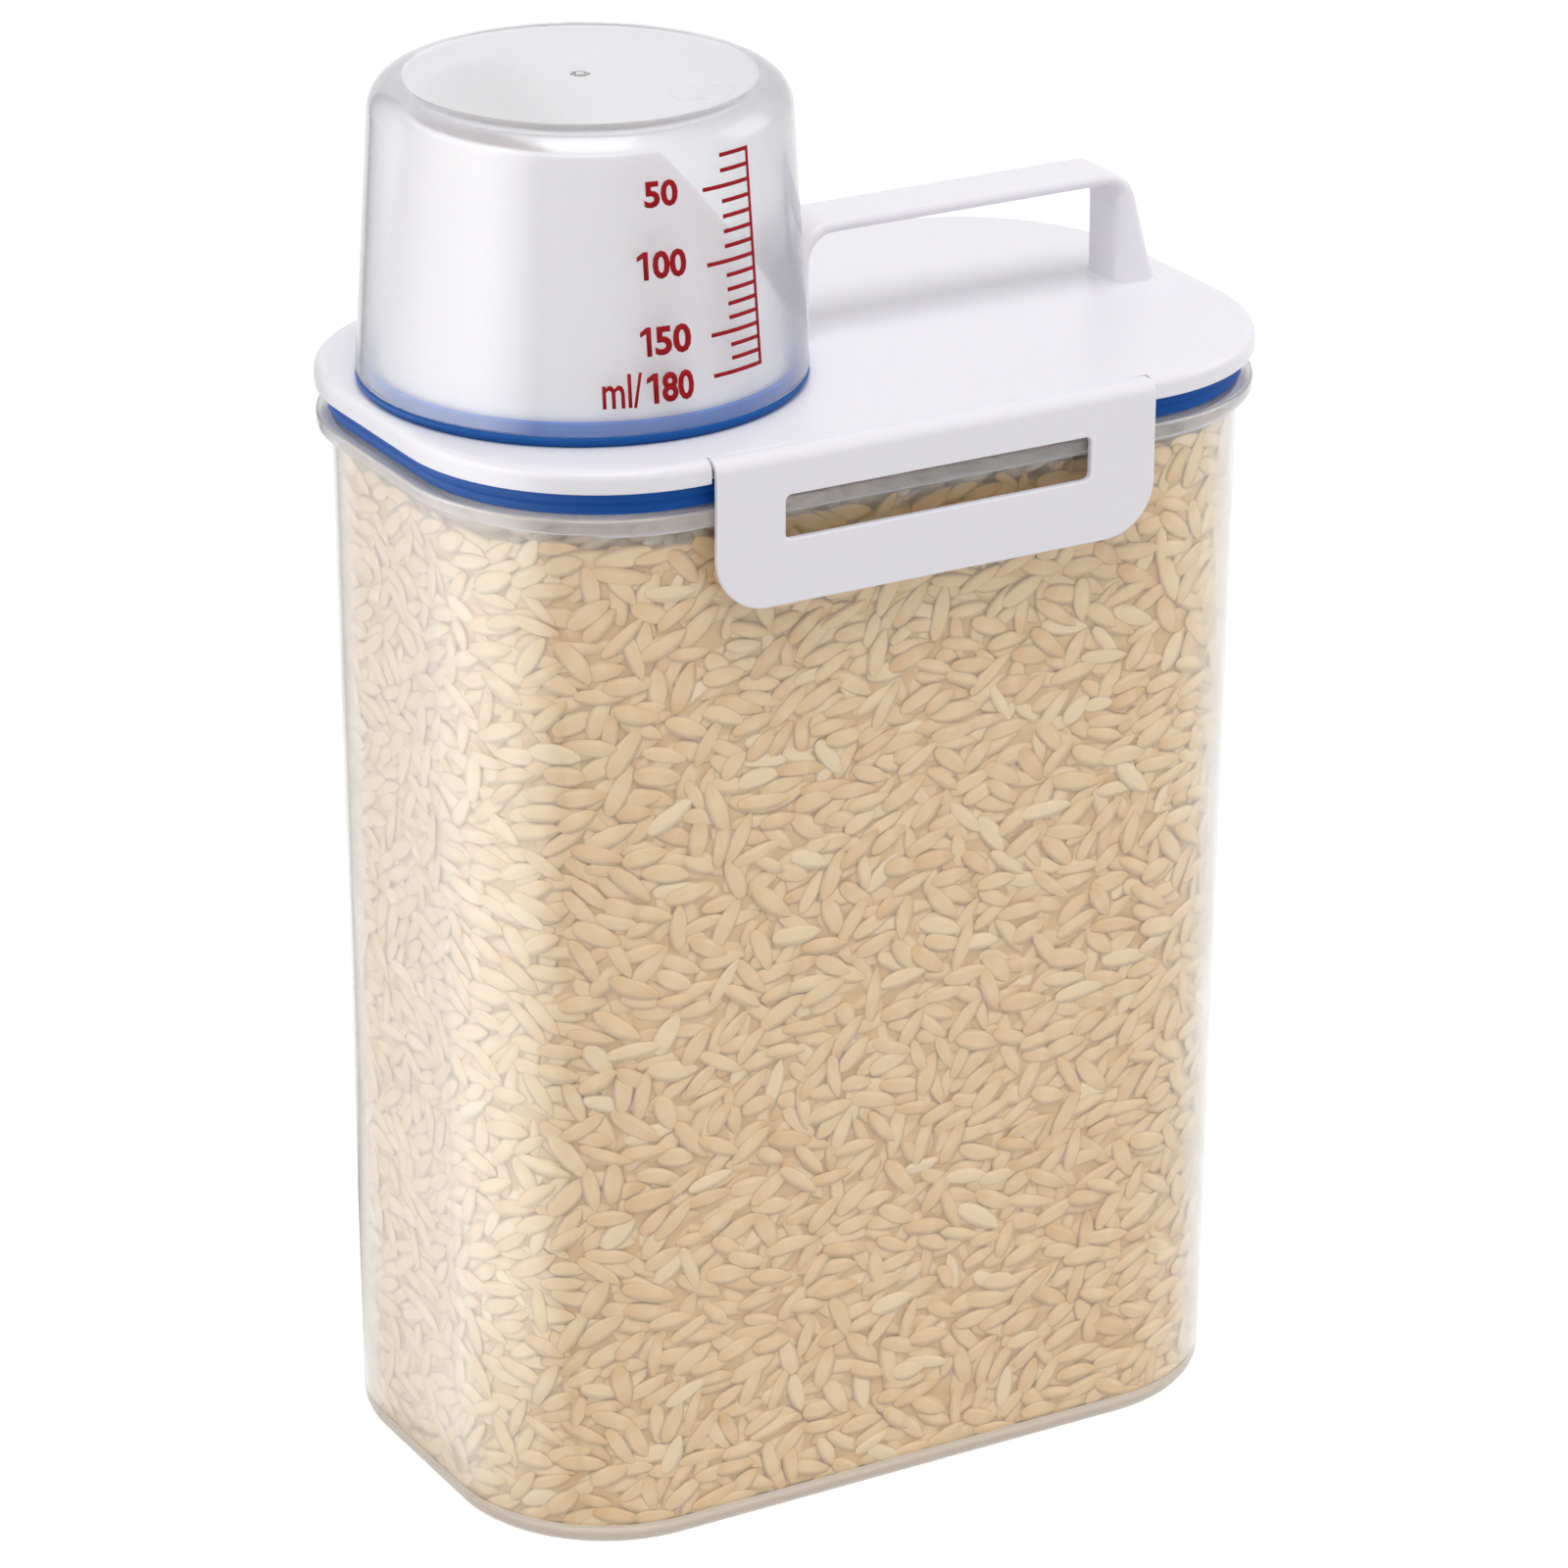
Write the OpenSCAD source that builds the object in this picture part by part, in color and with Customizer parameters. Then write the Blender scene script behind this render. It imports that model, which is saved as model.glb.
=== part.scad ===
// Dry-food bin for about 2 kg of rice: a clear tapered container, a white lid held by
// two flip latches, a pouring spout on the lid and a 180 ml measuring cup that caps it.
// The rice in it is one solid, up to a level just below the lid.
// Millimetres. +Z is up, +X runs to the handle end, -Y is the front latch side.
// The origin is the middle of the base, on the surface the bin stands on.

/* [Container] */
// Height from the surface to the top of the rim
body_h = 202; // [150:1:260]
// Length of the rim flange
rim_l = 167; // [150:0.5:200]
// Width of the rim flange
rim_w = 103.2; // [92:0.2:130]
// Corner radius of the rim flange, seen from above
rim_r = 37; // [28:0.5:44]
// Thickness of the rim flange
rim_t = 2.8; // [2:0.1:4]
// Reach of the rim flange beyond the wall
rim_out = 2.75; // [2:0.05:4]
// Thickness of the side walls
wall = 1.6; // [1.2:0.1:2.4]
// Thickness of the floor above the foot ring
floor_t = 2.4; // [2:0.1:4]
// How far each end wall leans in from rim to base
draft_x = 2.35; // [1:0.05:5]
// How far each long wall leans in from rim to base
draft_y = 1.75; // [1:0.05:5]
// Corner radius of the base, seen from above
base_r = 31; // [22:0.5:36]
// Radius of the rounded bottom edge
foot_r = 4.4; // [2:0.1:7]
// Width of the ring that the bin stands on
foot_ring_w = 5; // [3:0.5:10]
// Depth of the recess inside the foot ring
foot_recess = 0.8; // [0.4:0.1:1.2]
// Length of the catch rib under the rim, on both long sides
catch_l = 130; // [100:1:140]
// Depth of the catch rib below the flange
catch_drop = 0.6; // [0.3:0.1:1.5]
// How far the catch rib stands back from the flange edge
catch_set = 0.8; // [0.5:0.1:1.5]

/* [Rice] */
// Gap between the level of the rice and the plug wall of the lid above it
rice_room = 2.4; // [1:0.1:100]

/* [Lid] */
// Overhang of the lid beyond the rim, all round
lid_over = 0.2; // [0:0.1:1]
// Thickness of the lid at its edge
lid_t = 4.2; // [3.6:0.1:6]
// Radius of the rounded top edge
lid_edge_r = 1.9; // [1:0.1:2.4]
// Thickness of the lid plate inside the plug wall
plate_t = 2.4; // [2:0.1:3.4]
// Gap between the plug wall and the container wall
plug_gap = 2; // [1:0.1:3]
// Thickness of the plug wall
plug_wall = 2; // [1.4:0.1:3]
// Reach of the plug wall below the top of the rim
plug_drop = 2.2; // [1:0.1:6]

/* [Lid seal] */
// Height of the gap between rim and lid that the seal fills
seal_h = 4.7; // [3:0.1:6]
// How far the seal stands back from the flange edge
seal_set = 2.15; // [1:0.05:3]

/* [Spout] */
// Gap between the foot of the spout and the wall of the cup
spout_room = 1.7; // [1.5:0.1:5]
// How far the wall leans in from foot to lip
spout_lean = 6.7; // [3:0.1:12]
// Gap between the lip and the closed end of the cup
lip_room = 3.45; // [2:0.05:12]
// Wall of the spout
spout_wall = 2; // [1.4:0.1:3]
// Height of the straight foot of the spout above the lid
spout_foot_h = 2.1; // [1.5:0.1:4]
// Depth of the rebate in the lid that takes the spout
spout_seat = 1.4; // [0.8:0.1:1.6]
// Height of the cut-back mouth's low side above the lid
mouth_low = 4.8; // [3:0.2:20]
// Distance from the spout axis to where the level lip ends
mouth_start = 1; // [0:0.2:20]

/* [Cup seal] */
// Thickness of the flange that the cup stands on
ring_t = 1.75; // [1:0.05:3]
// Height of the whole ring
ring_h = 4; // [3:0.1:6]
// Undercut of the flange at its foot
ring_under = 0.8; // [0:0.1:1.5]

/* [Measuring cup] */
// Outside diameter at the mouth
cup_d = 80.4; // [64:0.2:86]
// How far the wall leans in from the mouth to the closed end
cup_lean_in = 3.25; // [1:0.05:6]
// Height of the cup
cup_h = 53.2; // [40:0.2:80]
// Wall of the cup
cup_wall = 1.6; // [1.2:0.1:2]
// Thickness of the closed end
cup_end_t = 2; // [1.5:0.1:3]
// Radius of the rounded shoulder
cup_shoulder_r = 6.1; // [3:0.1:9]
// Distance from the cup mouth to the end of the lid
cup_edge = 1.5; // [1:0.1:6]

/* [Handle] */
// Width of the strap
handle_w = 12; // [8:0.5:24]
// Height of the strap's top above the lid
handle_h = 22.5; // [16:0.5:34]
// Thickness of the strap
handle_t = 2.6; // [2:0.1:5]
// Gap between the handle and the cup
handle_gap = 0.8; // [0.5:0.1:6]
// Thickness of the leg beside the cup
leg_t = 2.2; // [2:0.1:4]
// Distance from the outer foot to the end of the lid
handle_end = 8.2; // [6:0.1:20]
// Length of the outer foot along the lid
foot_l = 8.9; // [7:0.1:14]
// Lean of the outer leg from strap to foot
leg_lean = 4.6; // [0:0.1:8]
// Corner radius over the outer leg
bend_r = 8; // [4:0.5:12]
// Corner radius over the leg beside the cup
near_bend_r = 7; // [4:0.5:10]
// Corner radius inside, beside the cup
near_fillet_r = 5; // [2:0.5:8]
// Corner radius inside, at the outer leg
far_fillet_r = 1.8; // [1:0.1:4]

/* [Latches] */
// Length of each latch
latch_l = 88.8; // [72:0.2:89]
// Height of each latch
latch_h = 28.1; // [24:0.1:45]
// Thickness of the flap
flap_t = 1.6; // [1.2:0.1:2.4]
// Radius of the two lower corners
latch_corner_r = 10; // [4:0.5:12]
// Radius of the rolled top edge
latch_roll_r = 2.3; // [1.7:0.1:2.8]
// Length of the slot
slot_l = 62; // [40:0.5:66]
// Height of the slot
slot_h = 8.1; // [5:0.1:10]
// Distance from the top of the latch to the slot
slot_down = 8.1; // [6:0.1:12]
// Corner radius of the slot
slot_r = 1.2; // [0.8:0.1:2.4]
// Distance from the edge of the lid in to the hinge line
hinge_set = 2; // [1.9:0.05:4]
// Radius of the round nose that the latch turns on, along the hinge line
nose_r = 0.3; // [0.2:0.05:0.5]
// Width of the film that joins the nose to the lid
film_w = 0.25; // [0.2:0.05:0.4]

/* [Fits] */
// Clearance of pieces that are pushed or staked together
snug_gap = 0.1; // [0.05:0.05:0.2]
// Clearance where one piece rests on another
seat_gap = 0.2; // [0.1:0.05:0.3]
// Clearance where pieces move past each other
free_gap = 0.3; // [0.25:0.05:0.6]

/* [Hidden] */
$fn = 72;
eps = 0.01;

// Container, half sizes
wall_x = rim_l / 2 - rim_out;
wall_y = rim_w / 2 - rim_out;
wall_r = rim_r - rim_out;
base_x = wall_x - draft_x;
base_y = wall_y - draft_y;
edge_steps = 5;
rim_edge = 0.7;

// Heights
rim_z = body_h - rim_t;
lid_z = body_h + seal_h;
lid_top = lid_z + lid_t;
plate_z = lid_top - plate_t;
plug_z = body_h - plug_drop;

// Lid, half sizes
lid_x = rim_l / 2 + lid_over;
lid_y = rim_w / 2 + lid_over;
lid_r = rim_r + lid_over;
plug_x = wall_x - wall - plug_gap;
plug_y = wall_y - wall - plug_gap;
plug_r = wall_r - wall - plug_gap;

// Cup and spout share one upright axis
cup_r = cup_d / 2;
cup_x = -(lid_x - cup_edge - cup_r);
mouth_z = lid_top + ring_t + snug_gap;
cup_lean = atan(cup_lean_in / cup_h);
spout_r = cup_r - cup_wall - spout_room;
spout_h = ring_t + snug_gap + cup_h - cup_end_t - lip_room;
rebate_r = spout_r + snug_gap;
spout_bore_r = spout_r - spout_wall;
mouth_low_x = spout_r - spout_lean * (mouth_low - spout_foot_h) / (spout_h - spout_foot_h);
mouth_slope = atan((spout_h - mouth_low) / (mouth_low_x + mouth_start));
upstand_r = cup_r - cup_wall - free_gap - ring_h * tan(cup_lean);

// Handle
leg_x = cup_x + cup_r + handle_gap;
foot_x = lid_x - handle_end;
strap_z = lid_top + handle_h - handle_t;
peg_w = 8;
peg_head = 0.8;
peg_head_h = 1;
near_peg = leg_t - 0.6;
far_peg = 4;

// Latches
flap_out = rim_w / 2 + free_gap + flap_t;
axis_y = lid_y - hinge_set;
axis_z = lid_top - nose_r;
latch_z = lid_top - latch_h;

// Points on an arc about (x, y), from angle a to angle b in n steps
function arc(x, y, r, a, b, n) =
    [for (i = [0 : n]) let (t = a + (b - a) * i / n) [x + r * cos(t), y + r * sin(t)]];

// Rounded rectangle, x by y half sizes
module plan(x, y, r) {
    square([2 * x, 2 * (y - r)], center = true);
    square([2 * (x - r), 2 * y], center = true);
    for (sx = [-1, 1])
        for (sy = [-1, 1])
            translate([sx * (x - r), sy * (y - r)])
                circle(r);
}

// Rounded rectangle slab standing on z
module slab(x, y, r, z, h) {
    translate([0, 0, z])
        linear_extrude(h)
            plan(x, y, r);
}

// Tapered tub from z = low up to z = high with a rounded bottom edge,
// grown by g on every side. The taper ends under the rim.
module tub(g, low, high, edge_r) {
    hull() {
        slab(wall_x + g, wall_y + g, wall_r + g, rim_z, high - rim_z);
        for (i = [0 : edge_steps]) {
            a = 90 * i / edge_steps;
            in = edge_r * (1 - sin(a));
            z = low + edge_r * (1 - cos(a));
            slab(base_x + g - in, base_y + g - in, base_r + g - in, z, rim_z - z);
        }
    }
}

// Rim flange with softened edges
module rim() {
    hull() {
        slab(rim_l / 2 - rim_edge, rim_w / 2 - rim_edge, rim_r - rim_edge, rim_z, rim_t);
        slab(rim_l / 2, rim_w / 2, rim_r, rim_z + rim_edge, rim_t - 2 * rim_edge);
    }
}

// Ribs under the flange on the two long sides
module catch_ribs() {
    intersection() {
        slab(rim_l / 2 - catch_set, rim_w / 2 - catch_set, rim_r - catch_set,
             rim_z - catch_drop, catch_drop + eps);
        translate([-catch_l / 2, -rim_w, rim_z - 2 * catch_drop])
            cube([catch_l, 2 * rim_w, 3 * catch_drop]);
    }
}

module container() {
    color([0.93, 0.94, 0.95, 0.35])
        difference() {
            union() {
                tub(0, 0, body_h, foot_r);
                rim();
                catch_ribs();
            }
            tub(-wall, floor_t, body_h + eps, foot_r - wall);
            slab(base_x - foot_r - foot_ring_w, base_y - foot_r - foot_ring_w,
                 base_r - foot_r - foot_ring_w, -eps, foot_recess + eps);
        }
}

// The rice takes the inside shape of the container, up to its level
module rice() {
    gap = wall + seat_gap;
    color([0.84, 0.73, 0.57])
        intersection() {
            tub(-gap, floor_t + seat_gap, body_h, foot_r - gap);
            slab(rim_l / 2, rim_w / 2, rim_r, 0, plug_z - rice_room);
        }
}

// Lid plate with its rounded top edge
module lid_plate() {
    hull() {
        for (i = [0 : edge_steps]) {
            a = 90 * i / edge_steps;
            in = lid_edge_r * (1 - cos(a));
            slab(lid_x - in, lid_y - in, lid_r - in, lid_z, lid_t - lid_edge_r * (1 - sin(a)));
        }
    }
}

module lid_hollow() {
    slab(plug_x - plug_wall, plug_y - plug_wall, plug_r - plug_wall, plug_z - eps,
         plate_z - plug_z + eps);
}

// Notch in the edge of the lid for one latch, on the front side
module latch_seat() {
    half = latch_l / 2 + free_gap;
    inner = axis_y - nose_r - film_w;
    translate([-half, -lid_y - 1, lid_z - 1])
        cube([2 * half, lid_y + 1 - inner, lid_t + 2]);
}

// Slots through the plate for the handle's staked pegs, grown by g
module peg(x, l, g) {
    translate([x - g, -peg_w / 2 - g, plate_z - eps])
        cube([l + 2 * g, peg_w + 2 * g, plate_t + 2 * eps]);
}

module pegs(g) {
    peg(leg_x + (leg_t - near_peg) / 2, near_peg, g);
    peg(foot_x - (foot_l + far_peg) / 2, far_peg, g);
}

module lid() {
    color("white")
        difference() {
            union() {
                lid_plate();
                slab(plug_x, plug_y, plug_r, plug_z, lid_z - plug_z + eps);
            }
            lid_hollow();
            translate([cup_x, 0, lid_top - spout_seat])
                cylinder(r = rebate_r, h = spout_seat + 1);
            intersection() {
                translate([cup_x, 0, lid_z])
                    cylinder(r = spout_bore_r, h = lid_t + 1);
                slab(plug_x - plug_wall, plug_y - plug_wall, plug_r - plug_wall, lid_z, lid_t + 1);
            }
            pegs(snug_gap);
            latch_seat();
            mirror([0, 1, 0])
                latch_seat();
        }
}

module lid_seal() {
    color([0.09, 0.27, 0.55])
        difference() {
            slab(rim_l / 2 - seal_set, rim_w / 2 - seal_set, rim_r - seal_set,
                 body_h + seat_gap, seal_h - seat_gap);
            slab(plug_x + snug_gap, plug_y + snug_gap, plug_r + snug_gap, body_h, seal_h + 1);
        }
}

// Arch between x0 and x1 with its top corners rounded to r0 and r1. Its right side
// leans in by lean, on the line from its foot that touches the corner's circle.
module arch(x0, x1, base, top, r0, r1, lean) {
    a = [x0 + r0, top - r0];
    b = [x1 - lean - r1, top - r1];
    reach = [x1, base] - b;
    t = atan2(reach[1], reach[0]) + acos(r1 / norm(reach));
    polygon([
        [x0, base],
        [x1, base],
        b + r1 * [cos(t), sin(t)],
        b,
        [b[0], top],
        [a[0], top],
        a,
        [x0, a[1]],
    ]);
    translate(a)
        circle(r0);
    translate(b)
        circle(r1);
}

// Side view of the handle, x along the bin and y up from the lid
module handle_side() {
    difference() {
        arch(leg_x, foot_x, 0, handle_h, near_bend_r, bend_r, leg_lean);
        arch(leg_x + leg_t, foot_x - foot_l, -1, handle_h - handle_t, near_fillet_r, far_fillet_r, 0);
    }
}

module handle() {
    color("white") {
        translate([0, handle_w / 2, lid_top])
            rotate([90, 0, 0])
                linear_extrude(handle_w)
                    handle_side();
        pegs(0);
        for (head = [[leg_x + (leg_t - near_peg) / 2, near_peg],
                     [foot_x - (foot_l + far_peg) / 2, far_peg]])
            translate([head[0] - peg_head, -peg_w / 2 - peg_head, plate_z - peg_head_h])
                cube([head[1] + 2 * peg_head, peg_w + 2 * peg_head, peg_head_h]);
    }
}

// Half profile of the spout: radius against height above the lid
function spout_profile(g) = [
    [spout_r - g, -spout_seat],
    [spout_r - g, spout_foot_h],
    [spout_r - spout_lean - g, spout_h],
];

module spout() {
    color("white")
        translate([cup_x, 0, lid_top])
            difference() {
                rotate_extrude()
                    polygon(concat(spout_profile(0), [for (i = [2 : -1 : 0]) spout_profile(spout_wall)[i]]));
                translate([-mouth_start, -cup_r, spout_h])
                    rotate([0, mouth_slope, 0])
                        translate([-spout_h, 0, 0])
                            cube([3 * spout_h, cup_d, 2 * spout_h]);
            }
}

module cup_seal() {
    color([0.14, 0.38, 0.67])
        translate([cup_x, 0, lid_top])
            rotate_extrude()
                polygon([
                    [spout_r + snug_gap, 0],
                    [cup_r - ring_under, 0],
                    [cup_r, ring_t * 0.6],
                    [cup_r, ring_t],
                    [upstand_r, ring_t],
                    [upstand_r, ring_h],
                    [spout_r + snug_gap, ring_h],
                ]);
}

// Half outline of the cup from its mouth up, grown by g: a tapered side and a
// round shoulder that runs into the flat end
function cup_outline(g, r, top) =
    let (z = top - r)
    let (x = cup_r + g - z * tan(cup_lean) - r / cos(cup_lean))
    concat([[cup_r + g, 0]], arc(x, z, r, cup_lean, 90, 8), [[0, top]]);

module measuring_cup() {
    color([0.93, 0.94, 0.96, 0.35])
        translate([cup_x, 0, mouth_z])
            difference() {
                rotate_extrude()
                    polygon(concat([[0, 0]], cup_outline(0, cup_shoulder_r, cup_h)));
                translate([0, 0, -eps])
                    rotate_extrude()
                        polygon(concat([[0, 0]],
                            cup_outline(-cup_wall, cup_shoulder_r - cup_wall, cup_h - cup_end_t)));
            }
}

// Section of the latch's top: its round nose, the roof and the rolled edge,
// y outwards from the hinge line and z up from it
module latch_section() {
    roll_y = flap_out - axis_y - latch_roll_r;
    roll_z = nose_r - latch_roll_r;
    circle(nose_r);
    translate([0, nose_r - flap_t])
        square([roll_y, flap_t]);
    intersection() {
        difference() {
            translate([roll_y, roll_z])
                circle(latch_roll_r);
            translate([roll_y, roll_z])
                circle(latch_roll_r - flap_t);
        }
        translate([roll_y, roll_z])
            square(latch_roll_r + 1);
    }
}

// Front view of the flap below its rolled edge
module flap_face() {
    top = lid_top - latch_roll_r;
    difference() {
        union() {
            translate([-latch_l / 2, latch_z + latch_corner_r])
                square([latch_l, top - latch_z - latch_corner_r]);
            translate([-latch_l / 2 + latch_corner_r, latch_z])
                square([latch_l - 2 * latch_corner_r, top - latch_z]);
            for (s = [-1, 1])
                translate([s * (latch_l / 2 - latch_corner_r), latch_z + latch_corner_r])
                    circle(latch_corner_r);
        }
        translate([0, lid_top - slot_down - slot_h / 2])
            plan(slot_l / 2, slot_h / 2, slot_r);
    }
}

// One latch, on the front side
module latch() {
    translate([-latch_l / 2, -axis_y, axis_z])
        rotate([90, 0, 90])
            linear_extrude(latch_l)
                mirror([1, 0])
                    latch_section();
    translate([0, -flap_out + flap_t, 0])
        rotate([90, 0, 0])
            linear_extrude(flap_t)
                flap_face();
}

module latch_front() {
    color([0.87, 0.87, 0.89])
        latch();
}

module latch_back() {
    color([0.87, 0.87, 0.89])
        mirror([0, 1, 0])
            latch();
}

container();
rice();
lid();
lid_seal();
handle();
spout();
cup_seal();
measuring_cup();
latch_front();
latch_back();
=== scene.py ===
"""Rice bin: a clear container full of rice, a white lid with its seal, handle and spout, two
flip latches, and a clear measuring cup with a printed scale. Lengths are worked out in
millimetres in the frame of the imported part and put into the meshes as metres."""

import math

import bpy
import numpy as np
from mathutils import Matrix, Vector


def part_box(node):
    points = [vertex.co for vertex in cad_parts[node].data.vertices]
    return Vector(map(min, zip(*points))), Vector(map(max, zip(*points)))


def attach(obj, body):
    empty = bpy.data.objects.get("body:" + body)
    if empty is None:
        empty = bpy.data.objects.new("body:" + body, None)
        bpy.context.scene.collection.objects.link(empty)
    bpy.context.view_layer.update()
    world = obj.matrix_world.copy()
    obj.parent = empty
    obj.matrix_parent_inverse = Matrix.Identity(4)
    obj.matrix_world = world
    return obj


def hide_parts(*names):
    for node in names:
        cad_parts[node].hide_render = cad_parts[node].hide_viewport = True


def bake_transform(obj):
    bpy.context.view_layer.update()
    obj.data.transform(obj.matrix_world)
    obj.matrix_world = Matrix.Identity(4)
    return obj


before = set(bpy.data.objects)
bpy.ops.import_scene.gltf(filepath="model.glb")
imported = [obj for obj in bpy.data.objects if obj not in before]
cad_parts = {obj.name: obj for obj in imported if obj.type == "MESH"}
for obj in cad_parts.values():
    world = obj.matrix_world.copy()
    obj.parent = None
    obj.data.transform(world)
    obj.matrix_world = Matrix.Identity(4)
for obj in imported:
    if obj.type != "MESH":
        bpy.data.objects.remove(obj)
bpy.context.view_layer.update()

MM = 0.001
SMOOTH_ANGLE, BEVEL_ANGLE = 40, 50
CORNER_STEPS = 28
SIDE_STOPS = np.linspace(-0.9, 0.9, 9)


# ---- places from the frame

def cad(node):
    """Lowest and highest corner of a CAD node, in millimetres."""
    low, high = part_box(node)
    return np.array(low) / MM, np.array(high) / MM


RIM_X, RIM_Y, RIM_TOP = cad("container")[1]
LID_X, LID_Y, LID_TOP = cad("lid")[1]
PLUG_LOW = cad("lid")[0][2]
SEAL_X, SEAL_Y, SEAL_TOP = cad("lid_seal")[1]
SEAL_LOW = cad("lid_seal")[0][2]
CUP_LOW, CUP_HIGH = cad("measuring_cup")
RING_R = (cad("cup_seal")[1][0] - cad("cup_seal")[0][0]) / 2
RING_LOW, RING_TOP = cad("cup_seal")[0][2], cad("cup_seal")[1][2]
SPOUT_LOW, SPOUT_HIGH = cad("spout")
HANDLE_HIGH = cad("handle")[1]
LATCH_LOW, LATCH_HIGH = cad("latch_front")

# Container
RIM_R = 37.0
RIM_T = 2.8
RIM_OUT = 2.75
RIM_EDGE = 0.7
WALL = 1.6
FLOOR_T = 2.4
DRAFT_X, DRAFT_Y = 2.35, 1.75
BASE_R = 31.0
FOOT_R = 4.4
FOOT_RING = 5.0
FOOT_RECESS = 0.8
UNDER_FLAT, FLOOR_FLAT = 6.0, 4.0
RIB_HALF = 65.0
RIB_DROP = 0.6
RIB_SET = 0.8
RIB_FADE = 0.1

# Lid
LID_R = RIM_R + LID_X - RIM_X
LID_EDGE = 1.9
LID_BEVEL = 0.2
PLATE_T = 2.4
PLUG_IN = 3.6
PLUG_WALL = 2.0
SPOUT_SEAT = LID_TOP - SPOUT_LOW[2]
SEAT_GAP = 0.1
SEAT_EDGE, SEAT_EDGE_MID = 0.25, 0.07
NOTCH_GAP = 0.3
NOTCH_HALF = LATCH_HIGH[0] + NOTCH_GAP
HINGE_IN, HINGE_NOSE, HINGE_GAP = 2.0, 0.3, 0.25
HINGE_Y = LID_Y - HINGE_IN
NOTCH_Y = HINGE_Y - HINGE_NOSE - HINGE_GAP
NOTCH_EDGE = 0.2

# Cup, its seal and the spout, on one upright axis
CUP_X = (CUP_LOW[0] + CUP_HIGH[0]) / 2
CUP_R = (CUP_HIGH[0] - CUP_LOW[0]) / 2
CUP_MOUTH, CUP_TOP = CUP_LOW[2], CUP_HIGH[2]
CUP_LEAN = 3.25
CUP_WALL = 1.6
CUP_END = 2.0
CUP_SHOULDER = 6.1
END_DISC_R = CUP_R - CUP_LEAN - CUP_SHOULDER + 0.2
DISC_SLOPE, DISC_SINK = 0.7, 0.22
GATE_R, GATE_PIT = 1.3, 0.55
RING_T = 1.75
UPSTAND_GAP = 0.3
SPOUT_R = (SPOUT_HIGH[0] - SPOUT_LOW[0]) / 2
SPOUT_TOP = SPOUT_HIGH[2]
SPOUT_LEAN = 6.7
SPOUT_WALL = 2.0
SPOUT_COLLAR = 2.1
SPOUT_FOOT = LID_TOP + SPOUT_COLLAR
SPOUT_EDGE = 0.7
MOUTH_START, MOUTH_LOW = 1.0, 4.8

# Handle, its feet from the cup's side to the end of the lid
STRAP_T = 2.6
LEG_GAP = 0.8
NEAR_LEG = CUP_HIGH[0] + LEG_GAP
NEAR_LEG_T = 2.2
FAR_FOOT = HANDLE_HIGH[0]
FAR_FOOT_L = 8.9
LEG_LEAN = 4.6
NEAR_BEND, FAR_BEND = 7.0, 8.0
NEAR_FILLET, FAR_FILLET = 5.0, 1.8
STRAP_EDGE = 2.4
FOOT_FLARE = 0.8

# Latches
FLAP_T = 1.6
ROLL_R = 2.3
FLAP_CORNER = 10.0
SLOT_HALF_X, SLOT_HALF_Z = 31.0, 4.05
SLOT_DROP = 8.1
SLOT_Z = LID_TOP - SLOT_DROP - SLOT_HALF_Z
SLOT_R = 1.2
LATCH_EDGE = 0.4
FILM_T = 0.22

# Print on the cup
PRINT_LIFT = 0.06
PRINT_T = 0.04
PRINT_LINE = 0.72
PRINT_LEAN = 1.7
SCALE_AZ = -69.0
SCALE_TOP, SCALE_LOW = 259.7, 221.3
SCALE_FIRST, SCALE_LAST, SCALE_STEP = 30, 180, 10
SCALE_BOW = 0.02
LONG_MARKS = (50, 100, 150, 180)
LONG_REACH, SHORT_REACH = 16.0, 10.0

# Rice. A spread is a mean and a deviation, and shares are the least and the greatest
RICE_LOW, RICE_TOP = cad("rice")[0][2], cad("rice")[1][2]
GRAIN_L, GRAIN_W, GRAIN_T = 9.2, 3.8, 1.9
L_SPREAD, L_SHARES = (0.98, 0.13), (0.6, 1.2)
W_SHARES, T_SHARES = (0.78, 1.14), (0.86, 1.08)
TONE_SPREAD = (0.5, 0.24)
RING_SIDES = 6
RING_PLACES = (-0.93, -0.70, -0.30, 0.16, 0.60, 0.88)
RING_SIZES = (0.44, 0.82, 1.0, 0.98, 0.72, 0.32)
GRAIN_BOW, GRAIN_ROLL, ROLL_PRESSED = 0.35, 0.6, 0.6
GRAIN_SQUEEZE, GRAIN_NESTLE = 0.62, 0.74
GRAIN_LIE, GRAIN_SPREAD = 8.0, 42.0
STEEPEST = 0.35
PLACES_TRIED = 7
PATCH_L, PATCH_W = 4.5, 1.5
PRESSED = 0.24
RICE_GAP = 0.12
RICE_CELL = 0.5
TOP_BED = 5.0
BULK_SET, BULK_LIFT = 0.6, 1.8
UPWARD = 0.5


# ---- surfaces

def points_at(*places):
    """Points from two or three coordinates, each an array or one number for all."""
    return np.stack(np.broadcast_arrays(*places), axis=-1)


def columns(corner_steps, side_stops=()):
    """Where the columns of a rounded rectangle stand, going round anticlockwise: the signed
    share of the corner's centre in x and in y, and the angle of the normal. Each corner is a
    quarter turn in equal steps. side_stops are extra columns on the two long sides, as shares
    of the straight from its middle."""
    parts = []
    for quarter, (side_x, side_y) in enumerate([(1, 1), (-1, 1), (-1, -1), (1, -1)]):
        angle = (quarter + np.linspace(0, 1, corner_steps + 1)) * math.pi / 2
        parts.append(points_at(side_x, side_y, angle))
        if quarter in (0, 2) and len(side_stops):
            parts.append(points_at(np.sort(side_stops) * side_y * -1, side_y, angle[-1]))
    return np.vstack(parts)


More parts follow.
